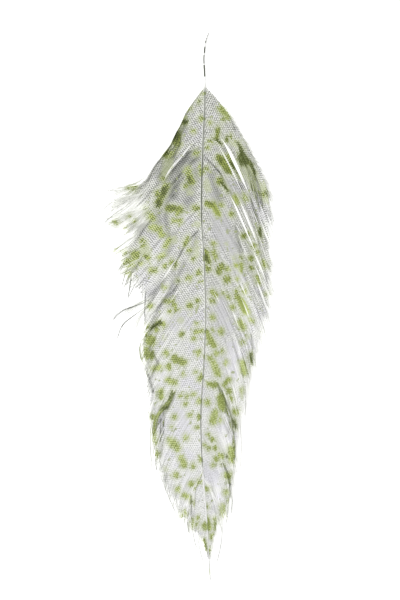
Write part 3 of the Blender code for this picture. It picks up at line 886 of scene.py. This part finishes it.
# Each lock: half width, how far its middle arches up, how green it is and how dark its painted
# shade is, and then points along it by aside, distance and height.
LEFT_LOCKS = (
    (0.3, 0.4, 0.15, 1.3, (-5.4, 26.6, 0.8), (-6.5, 29, 1.2), (-8.1, 31.8, 1.4), (-9.2, 34.4, 1.4),
     (-10, 36.6, 1.4), (-11.4, 38.6, 1.3), (-13, 40.8, 1)),
    (0.95, 0.5, 0.5, 0.45, (-7, 31, 0.5), (-8.6, 34, 0.8), (-9.6, 36.6, 0.9), (-11.2, 39.4, 0.9),
     (-12.2, 41.6, 0.7)),
    (0.24, 0.3, 0, 0, (-1.4, 33.5, 0.8), (-4.3, 36.1, 1.2), (-7.2, 39.5, 1.5), (-9.5, 42.2, 1.6),
     (-11.9, 45.4, 1.6), (-13.3, 48.2, 1.4), (-14, 51, 0.9)),
    (0.2, 0.2, 0, 0.9, (-2.4, 36.4, 0.6), (-5.2, 38.8, 0.7), (-8.4, 41.8, 0.7), (-11.2, 44.8, 0.7),
     (-12.6, 47.4, 0.6)),
    (0.18, 0.3, 0, 0.9, (-18.6, 78.6, 0.6), (-18.9, 82, 1), (-19, 86, 1.2), (-19.3, 90, 1),
     (-18.9, 94, 0.7)),
    (0.25, 0.3, 0, 1.1, (-8, 79.4, 0.7), (-9.6, 81.8, 0.9), (-11.8, 84.3, 1), (-14.3, 87.1, 1),
     (-17.5, 91.2, 0.8)),
    (0.16, 0.2, 0, 0, (-8.6, 82.8, 0.9), (-11.4, 86.8, 1.1), (-14.2, 88.4, 1.1)),
    (0.95, 0.3, 0, 0.1, (-18.4, 95, 0.4), (-18.8, 98.5, 0.6), (-18.7, 101.5, 0.6),
     (-18.2, 104.5, 0.6), (-17.2, 108.5, 0.4)),
    (0.2, 0.3, 0.3, 1, (-13.8, 92.6, 0.8), (-14.6, 93.2, 1.2), (-16.2, 94.2, 1.4), (-17.9, 95.3, 1.1)),
    (0.2, 0.3, 0.1, 0.7, (-17.8, 100.4, 0.8), (-17.1, 102, 1), (-15.9, 104.4, 1), (-14.6, 107, 0.7)),
    (0.12, 0.2, 0.4, 0.5, (-20, 98, 0.6), (-20.7, 101.1, 0.9), (-20.4, 104.7, 0.8),
     (-19.4, 107.2, 0.6)),
    (0.3, 0.3, 0.2, 0.9, (-19, 106, 0.7), (-18.2, 109.6, 1), (-17.2, 112.6, 1), (-16.6, 116.4, 0.7)),
    (0.5, 0.5, 0.9, 0.7, (-8.2, 113, 0.6), (-10.4, 116.6, 1), (-12.2, 119.6, 1.3),
     (-14.6, 122.2, 1.5), (-15.8, 124.8, 1.5), (-16.2, 128.4, 1.3), (-15.6, 132.8, 0.9)),
    (0.25, 0.3, 0, 0.5, (-12.6, 121.6, 0.6), (-13.6, 126, 0.8), (-14, 131.6, 0.6)),
    (0.1, 0.2, 0, 0.3, (-4.5, 147.4, 0.5), (-4.4, 152, 0.7), (-4.2, 158, 0.5)),
    (0.24, 0.2, 0, 0, (-0.3, 138.6, 0.7), (-0.9, 141.4, 0.9), (-2.4, 144.8, 0.9), (-3.3, 147.6, 0.9),
     (-3.6, 152.6, 0.9), (-3.5, 158, 0.6)))
LOCK_SEED = 5
# How many strands a lock has for each millimetre of half width, how unevenly they lie, and
# between which shares they start and end.
STRANDS_PER_MM = 9
LEAST_STRANDS = 4
UNEVEN = 0.12
STRANDS_START = (0, 0.16)
STRANDS_END = (0.76, 1.0)
WIDEST_STRAND = 0.5
LOCK_OVERLAP = 2.6
SWAY = 0.1
SWAY_LENGTH = 1.7
WHITE_CREST = 0.03
WHITE_TONE = 2.0


def way_points(points):
    """A line's points as an array, and how far along it each of them lies."""
    points = np.array(points, float)
    steps = np.hypot(*np.diff(points[:, :2], axis=0).T)
    return points, np.concatenate([[0], np.cumsum(steps)])


def places_along(points, run, along, kinds=3):
    """Aside, distance and height on the smooth line through points."""
    return [flowing(list(zip(run, points[:, k])), along) for k in range(kinds)]


def painted_values(shape, **given):
    """What is painted on loose strands: away from marks and plain, apart from what is given."""
    values = {key: NO_MARK if key.endswith("rim") else 0.0 for key in PAINTED}
    values.update(given)
    return {key: np.broadcast_to(value, shape) for key, value in values.items()}


def lock_block(lock, chance, marks, dark_marks):
    """The strands of one loose lock, side by side along its line and drawn in at both ends."""
    half_width, arch, green, dark = lock[:4]
    white = dark + green == 0
    points, run = way_points(lock[4:])
    strands = max(LEAST_STRANDS, round(half_width * STRANDS_PER_MM))
    spread = np.linspace(-1, 1, strands) + chance.uniform(-UNEVEN, UNEVEN, strands)
    first = chance.uniform(*STRANDS_START, strands)[:, None] * run[-1]
    last = chance.uniform(*STRANDS_END, strands)[:, None] * run[-1]
    along = first + (last - first) * np.linspace(0, 1, LOCK_STATIONS)[None, :]
    share = along / run[-1]
    line = places_along(points, run, along)
    near = places_along(points, run, along + 0.05, kinds=2)
    way = np.hypot(near[0] - line[0], near[1] - line[1])
    drawn_in = smooth(share / 0.35) * smooth((1.05 - share) / 0.4) * 0.9 + 0.1
    sway = SWAY * np.sin(along / SWAY_LENGTH + chance.uniform(0, math.tau, strands)[:, None])
    off = spread[:, None] * half_width * drawn_in + sway
    aside = line[0] - (near[1] - line[1]) / way * off
    distance = line[1] + (near[0] - line[0]) / way * off
    height = line[2] + arch * (1 - spread[:, None] ** 2) * drawn_in
    middle = in_frame(aside, distance, height)
    width = LOCK_OVERLAP * half_width / strands * drawn_in
    width = np.clip(width, HAIR_WIDTH, WIDEST_STRAND)
    tone = np.repeat(chance.random(strands)[:, None], LOCK_STATIONS, axis=1)
    dark_rim = nearest_mark(aside, distance, dark_marks)
    greens = np.minimum(nearest_mark(aside, distance, marks),
                        np.where(tone + 0.25 * np.sin(along * 1.3) < green, -0.6, NO_MARK))
    # Folded locks are darkened in patches with painted shade, which also deepens their green.
    other = np.repeat(chance.random(strands)[:, None], LOCK_STATIONS, axis=1)
    patchy = 0.65 + 0.5 * np.sin(along / 1.1 + 9 * other)
    folded = np.clip((dark - other) * 2.0, 0, 1) * np.clip(patchy, 0, 1)
    return {
        "middle": middle, "across": sides_of(middle), "width": width, "tilt": 0.0,
        "crest": np.full(width.shape, WHITE_CREST if white else CREST),
        "uv": np.stack([off, along], axis=-1),
        "values": painted_values(
            width.shape, rim=np.minimum(greens, dark_rim), fold=0.9 * folded,
            dark_rim=np.minimum(0.5 - folded, dark_rim), faint_rim=1.5 - 3.0 * green,
            loose=1.0 if white else 1 - drawn_in, tone=WHITE_TONE if white else tone)}


lock_chance = np.random.default_rng(LOCK_SEED)
left_loose = [lock_block(lock, lock_chance, LEFT_MARKS, LEFT_DARK_MARKS) for lock in LEFT_LOCKS]
left_locks = new_piece("left_locks", strand_mesh("left_locks", left_loose), vane_paint)
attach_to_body(left_locks, "root")
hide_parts("feather")


# --- The right vane: the same kind of barbs on the shaft's other side. It lies tidier than the
# left one, in long locks that sweep towards the tip, with narrow slits between them where the
# white table shows.

# These tables are written as the left vane's are.
RIGHT_BARBS = (
    (17.4, 50, 28, 12, 42.5), (28, 48, 21, 17, 48.6), (37.7, 47, 21, 18, 50.2),
    (53.8, 45, 23, 14, 46.8), (69.9, 43, 21, 8, 41.4), (86, 41, 18, 4, 35.8), (102.1, 40, 17, 0, 31.6),
    (118.2, 39, 21, -2, 27.6), (127.8, 37, 19, -4, 25.6), (137.5, 35, 17, -4, 18.8),
    (147.2, 31, 15, -2, 12.8), (156.8, 28, 14, 0, 6.6), (167.4, 18, 8, 2, 2))
RIGHT_SLITS = (
    (27.4, 0.12, 0.34, 0.68, 1.35, 0.4), (30.6, 0.04, 0.26, 0.72, 0.6, 0.5),
    (39.6, 0.24, 0.44, 0.88, 0.8, 0.3), (35.4, 0.38, 0.56, 0.85, 0.6, 0.3),
    (40.4, 0.6, 0.78, 1.1, 0.6, 0.3), (47.5, 0.66, 0.8, 1.1, 0.5, 0.3), (59, 0.5, 0.6, 0.75, 0.4, 0.2),
    (79.4, 0.08, 0.18, 0.3, 0.4, 0.2), (73.5, 0.4, 0.52, 0.68, 0.45, 0.2),
    (103, 0.34, 0.48, 0.66, 0.4, 0.4), (141.5, 0.06, 0.34, 1.05, 0.5, 0.3),
    (110, 0.5, 0.75, 1.1, 0.4, 0.3), (29, 0.5, 0.75, 1.2, 0.45, 0.2), (27, 0.68, 0.88, 1.4, 0.5, 0.2),
    (43.5, 0.6, 0.82, 1.3, 0.5, 0.2), (77, 0.12, 0.36, 0.62, 0.3, 0.2),
    (68.5, 0.52, 0.64, 0.8, 0.3, 0.2), (54, 0.64, 0.82, 1.2, 0.45, 0.2))
RIGHT_MARKS = (
    (1.7, 28.8, 0.6), (4.3, 30.8, 3.6, 34, 0.55), (5.2, 24.2, 7.2, 26.6, 0.95), (6, 27.8, 0.5),
    (8.3, 33.1, 0.4), (7.2, 34.3, 0.5), (1.7, 34.6, 0.6), (1, 36.8, 0.6), (4.8, 40, 7.8, 44, 1.1),
    (7.6, 39.4, 9.2, 42.8, 0.7), (0.5, 43.6, 0.6), (4.8, 47.6, 1.1), (1.2, 55.2, 3, 55.6, 1),
    (3, 55.8, 4.4, 58.2, 0.9), (5.4, 55.4, 0.7), (8.6, 58.2, 0.8), (9.8, 52.6, 10.6, 54.6, 0.7),
    (12.6, 52.4, 13.2, 53.2, 0.7), (19.2, 52, 0.7), (12.6, 65.2, 0.7), (14, 64.6, 0.6), (3, 67.8, 0.7),
    (15.8, 68.6, 0.7), (17, 70.6, 0.6), (15, 72.4, 0.8), (3, 70.2, 3.4, 72.2, 0.7), (0, 74.6, 0.6),
    (0.5, 70.6, 1, 73.2, 1), (1, 75.8, 0.8), (11.8, 72.4, 0.4), (5.6, 75, 4.6, 76.4, 0.9),
    (7.4, 76, 0.9), (7.2, 79.2, 1.1), (10.2, 74.6, 0.7), (11.9, 74.6, 11.8, 76.2, 0.6),
    (15.2, 75.6, 0.55), (10.4, 78.8, 0.5), (19, 73.6, 19.6, 75, 0.5), (17, 78.4, 17.4, 80.4, 0.55),
    (12.8, 83, 0.65), (2.4, 83, 3.6, 84.2, 0.7), (2.6, 86.2, 0.7), (6, 83.6, 0.4), (7.6, 84.8, 0.6),
    (10.2, 83, 0.5), (8.9, 88, 0.8), (10.6, 85, 0.9), (11.8, 86.4, 13.6, 89.8, 1), (2.6, 91.4, 0.9),
    (11.4, 92.8, 12.6, 94.8, 0.8), (12.2, 99.4, 0.55), (15, 92.2, 0.8), (20, 84, 0.6),
    (0.6, 96.2, 3, 100.6, 0.8), (2.8, 95.8, 0.5), (5.2, 96, 1), (3.8, 103, 0.9), (5.6, 102.4, 0.5),
    (1.8, 104.6, 0.9), (2.8, 106, 4.2, 109.6, 1), (6.8, 106, 0.7), (1.4, 112.8, 3.6, 113.2, 0.7),
    (7.8, 111.4, 6.4, 113.2, 0.6), (7.9, 115.2, 0.9), (8.6, 117.6, 0.7), (5.2, 117.2, 5.6, 120.2, 1.15),
    (0.8, 118.8, 1), (12.2, 106, 12.8, 109, 0.9), (3.4, 122.2, 2.8, 124.8, 1.1), (5, 124.6, 0.6),
    (10, 121.8, 0.9), (12, 114.8, 0.5), (1.2, 129.4, 0.55), (2.6, 130.8, 0.6), (0, 132.4, 0.5),
    (1.4, 133.6, 0.5), (3.4, 133.6, 0.6), (5.4, 136, 0.9), (3.8, 137.2, 0.8), (8.8, 134, 8.8, 137, 1.1),
    (2.6, 139, 0.5), (7.5, 142.2, 1), (0.5, 146.6, 0.7), (6.9, 148, 0.8), (7.8, 150.4, 0.6),
    (0.2, 152.4, 0.7), (5.6, 152.4, 5.8, 154.4, 0.5), (0.3, 156.4, 0.9, 158.4, 1), (1.2, 159, 1),
    (3.4, 156.2, 0.4), (3.6, 159.2, 0.6), (2.6, 161.6, 0.7), (0.6, 166.2, 2, 166.4, 0.5),
    (2.2, 162.4, 0.4), (3.6, 158, 0.5), (-0.6, 44.4, 0.7), (5.8, 152.2, 6, 155, 0.8))
# Dark green marks: green in painted shade, where the web folds or lies double.
RIGHT_DARK_MARKS = (
    (3.6, 34.2, 5, 35.4, 0.3), (9.2, 41.6, 11.6, 46, 0.6), (8.4, 41.2, 9.4, 43.4, 0.35),
    (5.6, 48, 7.4, 50.6, 0.4), (11.8, 38.6, 13.4, 42, 1), (11.4, 40.4, 12.2, 42.4, 0.8),
    (10.8, 35.4, 12.2, 37.6, 0.4), (15, 41.6, 16.3, 45.2, 0.4), (19.8, 50.4, 19.9, 51.6, 0.3),
    (17.6, 62.8, 18, 65.2, 0.4), (0.2, 71.6, 0.7, 73.2, 0.6), (14.8, 103, 15.2, 105.6, 0.6),
    (9.4, 124.8, 10, 126.8, 0.7), (7.2, 136.2, 0.4), (5.9, 138.8, 0.5))
RIGHT_FAINT_MARKS = (
    (9.3, 35.5, 0.7), (0.6, 47.6, 1.2, 50.4, 0.9), (7, 67.6, 0.5), (9.4, 72.2, 0.5), (13.6, 80.8, 0.6),
    (13.8, 97.6, 0.8), (12, 115, 12, 117, 0.6), (14.2, 43.6, 16.2, 49, 1.5), (18.6, 49, 19.6, 54, 1),
    (12.6, 34, 14, 36.6, 0.7))
RIGHT_SHADE_BANDS = (
    (0.35, 0.85, 10.6, 35.4, 12.2, 38.2, 15.4, 42), (1.3, 0.55, 13, 40, 15.4, 46, 16.4, 52),
    (0.5, 0.6, 14.4, 44, 16.4, 50, 17.6, 57), (0.35, 0.7, 12.6, 47, 14.6, 52, 16.6, 60),
    (0.3, 0.85, 0.4, 40.2, 2.6, 42.4, 5, 45, 7, 49), (0.3, 0.6, 8.2, 26.6, 9.8, 31.4),
    (0.9, 0.35, 6.4, 37, 9.6, 41.4, 12.4, 47), (1, 0.3, 11.6, 43, 13.4, 49),
    (1.6, 0.34, 2, 45, 3.6, 50, 4.8, 54), (0.3, 0.9, 10.6, 47.6, 11.8, 50.2, 12.4, 52),
    (0.3, 0.7, 8, 50.4, 10.4, 56, 12.6, 61.4), (0.35, 0.9, 4.2, 112.8, 5, 115, 6.8, 118.4, 6.6, 122),
    (1.1, 0.4, 7, 119, 8.6, 124, 8.4, 128), (0.45, 0.7, 9.2, 128, 9.4, 134, 9.8, 139),
    (0.35, 0.7, 6.2, 139, 7.6, 142, 8.6, 146, 8.2, 150), (0.8, 0.3, 10, 62, 11.6, 70),
    (0.3, 0.5, 17, 66, 19, 74, 20.4, 82), (0.3, 0.5, 15, 96, 15.6, 104), (0.3, 0.5, 18.4, 60, 20, 68))
RIGHT_CURLS = ((20, 3.2), (26, 2.8), (112, 2.8))
RIGHT_CALM = (
    (4, 58, 8, 70, 4.4), (9, 68, 12, 80, 3.2), (5, 84, 7, 95, 3.6), (13, 84, 13, 92, 2.6),
    (9, 98, 10, 112, 3.6), (6, 126, 6, 133, 3), (4, 143, 4, 150, 2.6), (6.5, 46, 9.5, 54, 2.4),
    (2, 52, 5, 62, 3))
RIGHT_SEED = 47

right = Vane(1, RIGHT_BARBS, RIGHT_SLITS, RIGHT_CURLS, RIGHT_SEED)
right_strands = vane_blocks(right, RIGHT_MARKS, RIGHT_DARK_MARKS, RIGHT_FAINT_MARKS,
                            RIGHT_SHADE_BANDS, RIGHT_CALM)
right_vane = new_piece("right_vane", strand_mesh("right_vane", right_strands), vane_paint)
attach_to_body(right_vane, "root")
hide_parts("feather")


# --- Loose locks of the right vane: barbs of keratin that came unhooked and lie folded over it,
# ones darkened with painted shade along its shoulder and its lower edge, and a pale one that runs
# off the shaft near the tip.

RIGHT_LOCKS = (
    (0.4, 0.4, 0.6, 0.9, (10.2, 34.8, 0.6), (11.8, 37.8, 0.9), (13.6, 40.8, 1.1), (15.4, 44.4, 1.1),
     (16.6, 48, 0.9)),
    (0.35, 0.3, 0.5, 0.8, (12.6, 41.6, 0.7), (14.6, 46, 1), (16, 51, 1), (17.2, 56.6, 0.8)),
    (0.25, 0.3, 0.2, 0.8, (15, 43.4, 0.7), (17, 48.6, 1), (18.2, 54, 1), (19, 60, 0.8)),
    (0.25, 0.3, 0.3, 0.7, (15.6, 55, 0.6), (17.2, 60.6, 0.9), (18.4, 66, 0.9), (19.2, 71, 0.7)),
    (0.25, 0.3, 0.5, 0.9, (3.8, 112, 0.6), (5.2, 115, 0.8), (6.6, 118.4, 0.8), (6.8, 122.4, 0.6)),
    (0.35, 0.3, 0, 0.5, (6.4, 118, 0.6), (7.8, 122, 0.8), (8.6, 126, 0.8), (8.8, 130, 0.6)),
    (0.4, 0.3, 0.7, 0.8, (9.2, 127, 0.6), (9.5, 131, 0.9), (9.4, 135, 1), (9, 139.6, 0.7)),
    (0.22, 0.3, 0.2, 0.9, (6, 138.4, 0.6), (7.4, 141.8, 0.9), (8.1, 145.6, 0.9), (7.6, 151.6, 0.6)),
    (0.2, 0.2, 0.3, 0.6, (14.6, 98, 0.6), (15.2, 102, 0.8), (15.2, 107, 0.6)),
    (0.24, 0.2, 0, 0, (-1.2, 139.6, 0.7), (-0.3, 142.6, 0.9), (1.5, 146, 0.9), (2.8, 148.6, 0.9),
     (4.6, 152.6, 0.9), (5.4, 155.4, 0.6)))

right_loose = [lock_block(lock, lock_chance, RIGHT_MARKS, RIGHT_DARK_MARKS)
               for lock in RIGHT_LOCKS]
right_locks = new_piece("right_locks", strand_mesh("right_locks", right_loose), vane_paint)
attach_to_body(right_locks, "root")
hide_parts("feather")


# --- Wisps: single barbs of keratin, bare of barbules and fine as hair, that came loose at the
# edges and in the fan. Each still sits on the vane at its own root. Most are darker than the
# web, and a few that lie on it are white.

# Each wisp: how many hairs, how far they spread at the end, how thick and how dark they are, and
# its points by aside, distance and height.
WISPS = (
    (2, 0.4, 0.24, 0.9, (-15.4, 83, 0.4), (-19, 86.4, 1), (-22.5, 87.8, 1.4), (-26.2, 89.3, 1.8),
     (-28, 90.6, 1.7), (-29.5, 92.4, 1.6)),
    (12, 2.6, 0.14, 0.1, (-17.8, 85, 0.4), (-22.5, 87.8, 1), (-26.4, 91, 1.4)),
    (2, 0.5, 0.28, 1, (-16.8, 86.4, 0.4), (-20.7, 89.3, 1), (-23.2, 91.1, 1.3), (-26.1, 93.4, 1.5),
     (-27.9, 97.6, 1.4)),
    (10, 2.4, 0.14, 0.1, (-17.6, 87, 0.4), (-21, 91.4, 0.9), (-23.4, 95.6, 1)),
    (2, 0.4, 0.12, 0.3, (-17.8, 77, 0.5), (-19.4, 79.6, 0.9), (-19.8, 86, 1)),
    (2, 0.3, 0.24, 0.9, (-23.8, 73.6, 0.5), (-25.4, 77.4, 1), (-26.5, 81.2, 1.2)),
    (3, 0.3, 0.3, 0.9, (-21.8, 74, 0.5), (-23.4, 77.4, 1.2), (-23.9, 81, 1.6), (-24.6, 85.4, 1.4)),
    (2, 0.4, 0.2, 0.9, (-17, 74, 0.5), (-20.4, 78, 1), (-22.8, 81.8, 1.2), (-24.2, 84.6, 1.2)),
    (9, 2.2, 0.14, 0.2, (-21, 64, 0.5), (-25, 67, 1.2), (-28.4, 69.6, 1.6), (-30.8, 71.6, 1.6)),
    (9, 2.2, 0.14, 0.3, (-20.4, 68, 0.5), (-24, 71.6, 1.2), (-26.8, 75.6, 1.6), (-28.6, 79.4, 1.4)),
    (8, 2, 0.14, 0.4, (-19, 70, 0.5), (-22, 74.6, 1.2), (-24.4, 78.6, 1.4), (-26.2, 83, 1.2)),
    (24, 2.8, 0.15, 0.1, (-18.6, 56.4, 0.5), (-23.6, 58, 1.2), (-28, 59.8, 1.8), (-32.4, 61.2, 2)),
    (30, 2.2, 0.16, 0.2, (-16.6, 55, 0.5), (-19.6, 58, 0.9), (-22.6, 61, 1.2), (-25.6, 62.8, 1.3)),
    (30, 2.4, 0.16, 0.2, (-15.6, 57.6, 0.5), (-18, 60.2, 0.8), (-20.6, 62.8, 1), (-22.8, 65.6, 1.1)),
    (22, 3, 0.14, 0.1, (-18.6, 51, 0.5), (-23, 52.6, 1.2), (-27.4, 54.4, 1.8), (-31.6, 56.6, 2)),
    (22, 2.8, 0.14, 0.1, (-18, 48, 0.5), (-22.6, 49.6, 1.2), (-27.4, 51, 2), (-31.4, 52.6, 2.4)),
    (8, 1.6, 0.14, 0.2, (-17.4, 45, 0.5), (-21.6, 48, 1.2), (-25.6, 49.4, 1.8), (-30.2, 50, 2.2)),
    (2, 0.5, 0.16, 0.8, (-26, 56, 1), (-29.4, 58.6, 1.6), (-32.4, 61.4, 1.8)),
    (2, 0.8, 0.16, 0.8, (-24.6, 53, 1), (-29, 54, 1.6), (-32.8, 56.8, 1.8)),
    (1, 0.1, 0.16, 0.8, (-24, 49.6, 1), (-28, 50.6, 1.8), (-31.6, 50.6, 2.2)),
    (2, 0.3, 0.18, 0.7, (5, 152, 0.5), (5.7, 158.6, 0.8), (5.3, 164.4, 0.8), (3.9, 170.8, 0.6)),
    (1, 0.2, 0.18, 0.8, (4.2, 155, 0.5), (5.6, 160.6, 0.7), (5, 166, 0.6)),
    (1, 0.2, 0.2, 0.8, (7.4, 150, 0.5), (7.4, 154, 0.7), (7, 157.6, 0.6)),
    (3, 0.8, 0.14, 0.4, (-3.4, 152, 0.5), (-3.9, 158.6, 0.7), (-3.2, 163.2, 0.7), (-1.6, 168, 0.5)),
    (4, 1.4, 0.14, 0.4, (-4.6, 150, 0.5), (-5.4, 156, 0.7), (-4.4, 162.6, 0.6)),
    (2, 0.3, 0.14, 0.6, (-1.8, 157, 0.5), (-2, 163, 0.6), (-0.6, 169.4, 0.5), (0.4, 173.4, 0.4)),
    (3, 0.9, 0.14, 0.6, (18.6, 46, 0.6), (20.2, 51, 0.9), (21, 56, 0.9), (21.3, 61, 0.7)),
    (2, 0.5, 0.15, 0.7, (10.4, 118, 0.5), (11.4, 125, 0.8), (11.9, 132, 0.8), (11.7, 139.6, 0.6)),
    (2, 0.5, 0.15, 0.6, (12, 110, 0.5), (13.2, 117, 0.8), (13, 124, 0.7)),
    (2, 0.5, 0.15, 0.7, (-16.2, 118, 0.5), (-17.1, 124, 0.8), (-17.4, 132, 0.8), (-17, 139.6, 0.6)),
    (3, 0.7, 0.15, 0.7, (-14.6, 130, 0.5), (-15.9, 136, 0.8), (-15.2, 142, 0.6)),
    (2, 0.6, 0.15, 0.6, (-13, 137, 0.5), (-14, 141, 0.8), (-11.8, 148.4, 0.8), (-9.2, 154.6, 0.6)),
    (2, 0.4, 0.15, 0.7, (7.8, 145, 0.5), (8.8, 149, 0.7), (8.6, 155, 0.6)))
WISP_SEED = 19
WISP_STATIONS = 33
WISP_CREST = 0.08
WISP_ENDS = (0.72, 1.0)
HAIR_STATIONS = 13
HAIR_CREST = 0.06
HAIR_LOWEST = 0.15
HAIR_TURN_SPREAD = 5
HAIR_RISE = (-0.3, 0.9)
# Hairs grow shorter towards the feather's tip, from the first root on and to none at the last.
HAIRS_SHORTEN = (132, 172)
# Fine hairs that go on from barbs. How many a vane has at its edge, how many fuzz the top of the
# right edge and how many the roll at the left, and the white ones on each web.
EDGE_HAIRS = 170
FUZZ_HAIRS = 220
ROLL_HAIRS = 160
LEFT_WHITE_HAIRS = 40
RIGHT_WHITE_HAIRS = 70
# Which barbs, counted from the quill, carry the fuzz, the roll's hairs and the white ones.
FUZZ_BARBS = (0, 5)
ROLL_BARBS = (16, 64)
WHITE_FROM_BARB = 60
# Each kind of fine hair: between which shares of its barb it starts, how long it is, how far it
# turns, its tone, how thick and how dark it is.
EDGE_KIND = ((0.72, 0.88), (2.5, 7), -3, (0, 1.2), 0.14, 0.2)
FUZZ_KIND = ((0.16, 0.9), (1.5, 4), 20, (0, 1.2), 0.14, 0.2)
ROLL_KIND = ((0.3, 0.9), (0.5, 1.7), 5, (0.2, 1.4), 0.12, 0.1)
WHITE_KIND = ((0.4, 0.85), (4, 9), 0, (1.7, 2), 0.26, 0)


def hair_block(places, share, along, width, crest, tone, dark, marks):
    """Bare hairs, loose all along, and green where they cross a mark."""
    aside, distance, height = places
    middle = in_frame(aside, distance, height)
    rim = nearest_mark(aside, distance, marks)
    return {"middle": middle, "across": sides_of(middle), "width": width, "tilt": 0.0,
            "crest": np.full(share.shape, crest), "uv": np.stack([along * 0, along], axis=-1),
            "values": painted_values(share.shape, rim=rim, fold=dark, loose=1.0, tone=tone)}


def wisp_block(wisp, chance):
    """Hairs along one line that spread towards its end."""
    hairs, spread, thick, dark = wisp[:4]
    points, run = way_points(wisp[4:])
    last = chance.uniform(*WISP_ENDS, hairs)
    last[0] = 1.0
    along = last[:, None] * run[-1] * np.linspace(0, 1, WISP_STATIONS)[None, :]
    share = along / run[-1]
    aside, distance, height = places_along(points, run, along)
    aside = aside + chance.normal(0, spread / 5, hairs)[:, None] * share**1.5
    distance = distance + chance.normal(0, spread / 2, hairs)[:, None] * share**1.5
    height = height + chance.uniform(0, 0.5, hairs)[:, None] * share
    tone = chance.uniform(0.6, 1.6, hairs)[:, None] - 0.9 * dark
    return hair_block((aside, distance, height), share, along, thick * (1 - 0.35 * share),
                      WISP_CREST, tone, dark * smooth(share * 1.4), LEFT_MARKS)


def fine_hairs(vane, chance, marks, chosen, kind):
    """Fine hairs on a vane and its edge, each going on from a barb that ends or lies there."""
    starts, lengths, turn, tones, thick, dark = kind
    aside, distance, height, angle, shares = vane.laid
    count = len(chosen)
    at = np.array([np.argmin(abs(shares[k] - start)) for k, start in
                   zip(chosen, chance.uniform(*starts, count))])
    first, last = HAIRS_SHORTEN
    long = chance.uniform(*lengths, count) * smooth((last - vane.roots[chosen]) / (last - first))
    long = long[:, None]
    along = long * np.linspace(0, 1, HAIR_STATIONS)[None, :]
    share = along / long
    turned = np.radians(chance.normal(turn, HAIR_TURN_SPREAD, count))[:, None] * share
    heading = angle[chosen, at][:, None] + turned
    aside = aside[chosen, at][:, None] + vane.side * np.sin(heading) * along
    distance = distance[chosen, at][:, None] + np.cos(heading) * along
    rise = chance.uniform(*HAIR_RISE, count)[:, None]
    height = height[chosen, at][:, None] + rise * share
    tone = chance.uniform(*tones, count)[:, None]
    return hair_block((aside, distance, np.maximum(height, HAIR_LOWEST)), share, along,
                      thick * (1 - 0.5 * share), HAIR_CREST, tone, dark, marks)


wisp_chance = np.random.default_rng(WISP_SEED)
wisp_strands = [wisp_block(wisp, wisp_chance) for wisp in WISPS]
for vane, marks in ((left, LEFT_MARKS), (right, RIGHT_MARKS)):
    chosen = wisp_chance.choice(len(vane.roots), EDGE_HAIRS, replace=False)
    wisp_strands.append(fine_hairs(vane, wisp_chance, marks, chosen, EDGE_KIND))
chosen = wisp_chance.integers(*FUZZ_BARBS, FUZZ_HAIRS)
wisp_strands.append(fine_hairs(right, wisp_chance, RIGHT_MARKS, chosen, FUZZ_KIND))
chosen = wisp_chance.integers(*ROLL_BARBS, ROLL_HAIRS)
wisp_strands.append(fine_hairs(left, wisp_chance, LEFT_MARKS, chosen, ROLL_KIND))
for vane, marks, white in ((left, LEFT_MARKS, LEFT_WHITE_HAIRS),
                           (right, RIGHT_MARKS, RIGHT_WHITE_HAIRS)):
    barbs = np.arange(WHITE_FROM_BARB, len(vane.roots))
    chosen = wisp_chance.choice(barbs, white, replace=False)
    wisp_strands.append(fine_hairs(vane, wisp_chance, marks, chosen, WHITE_KIND))
wisps = new_piece("wisps", strand_mesh("wisps", wisp_strands), vane_paint)
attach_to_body(wisps, "root")
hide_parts("feather")
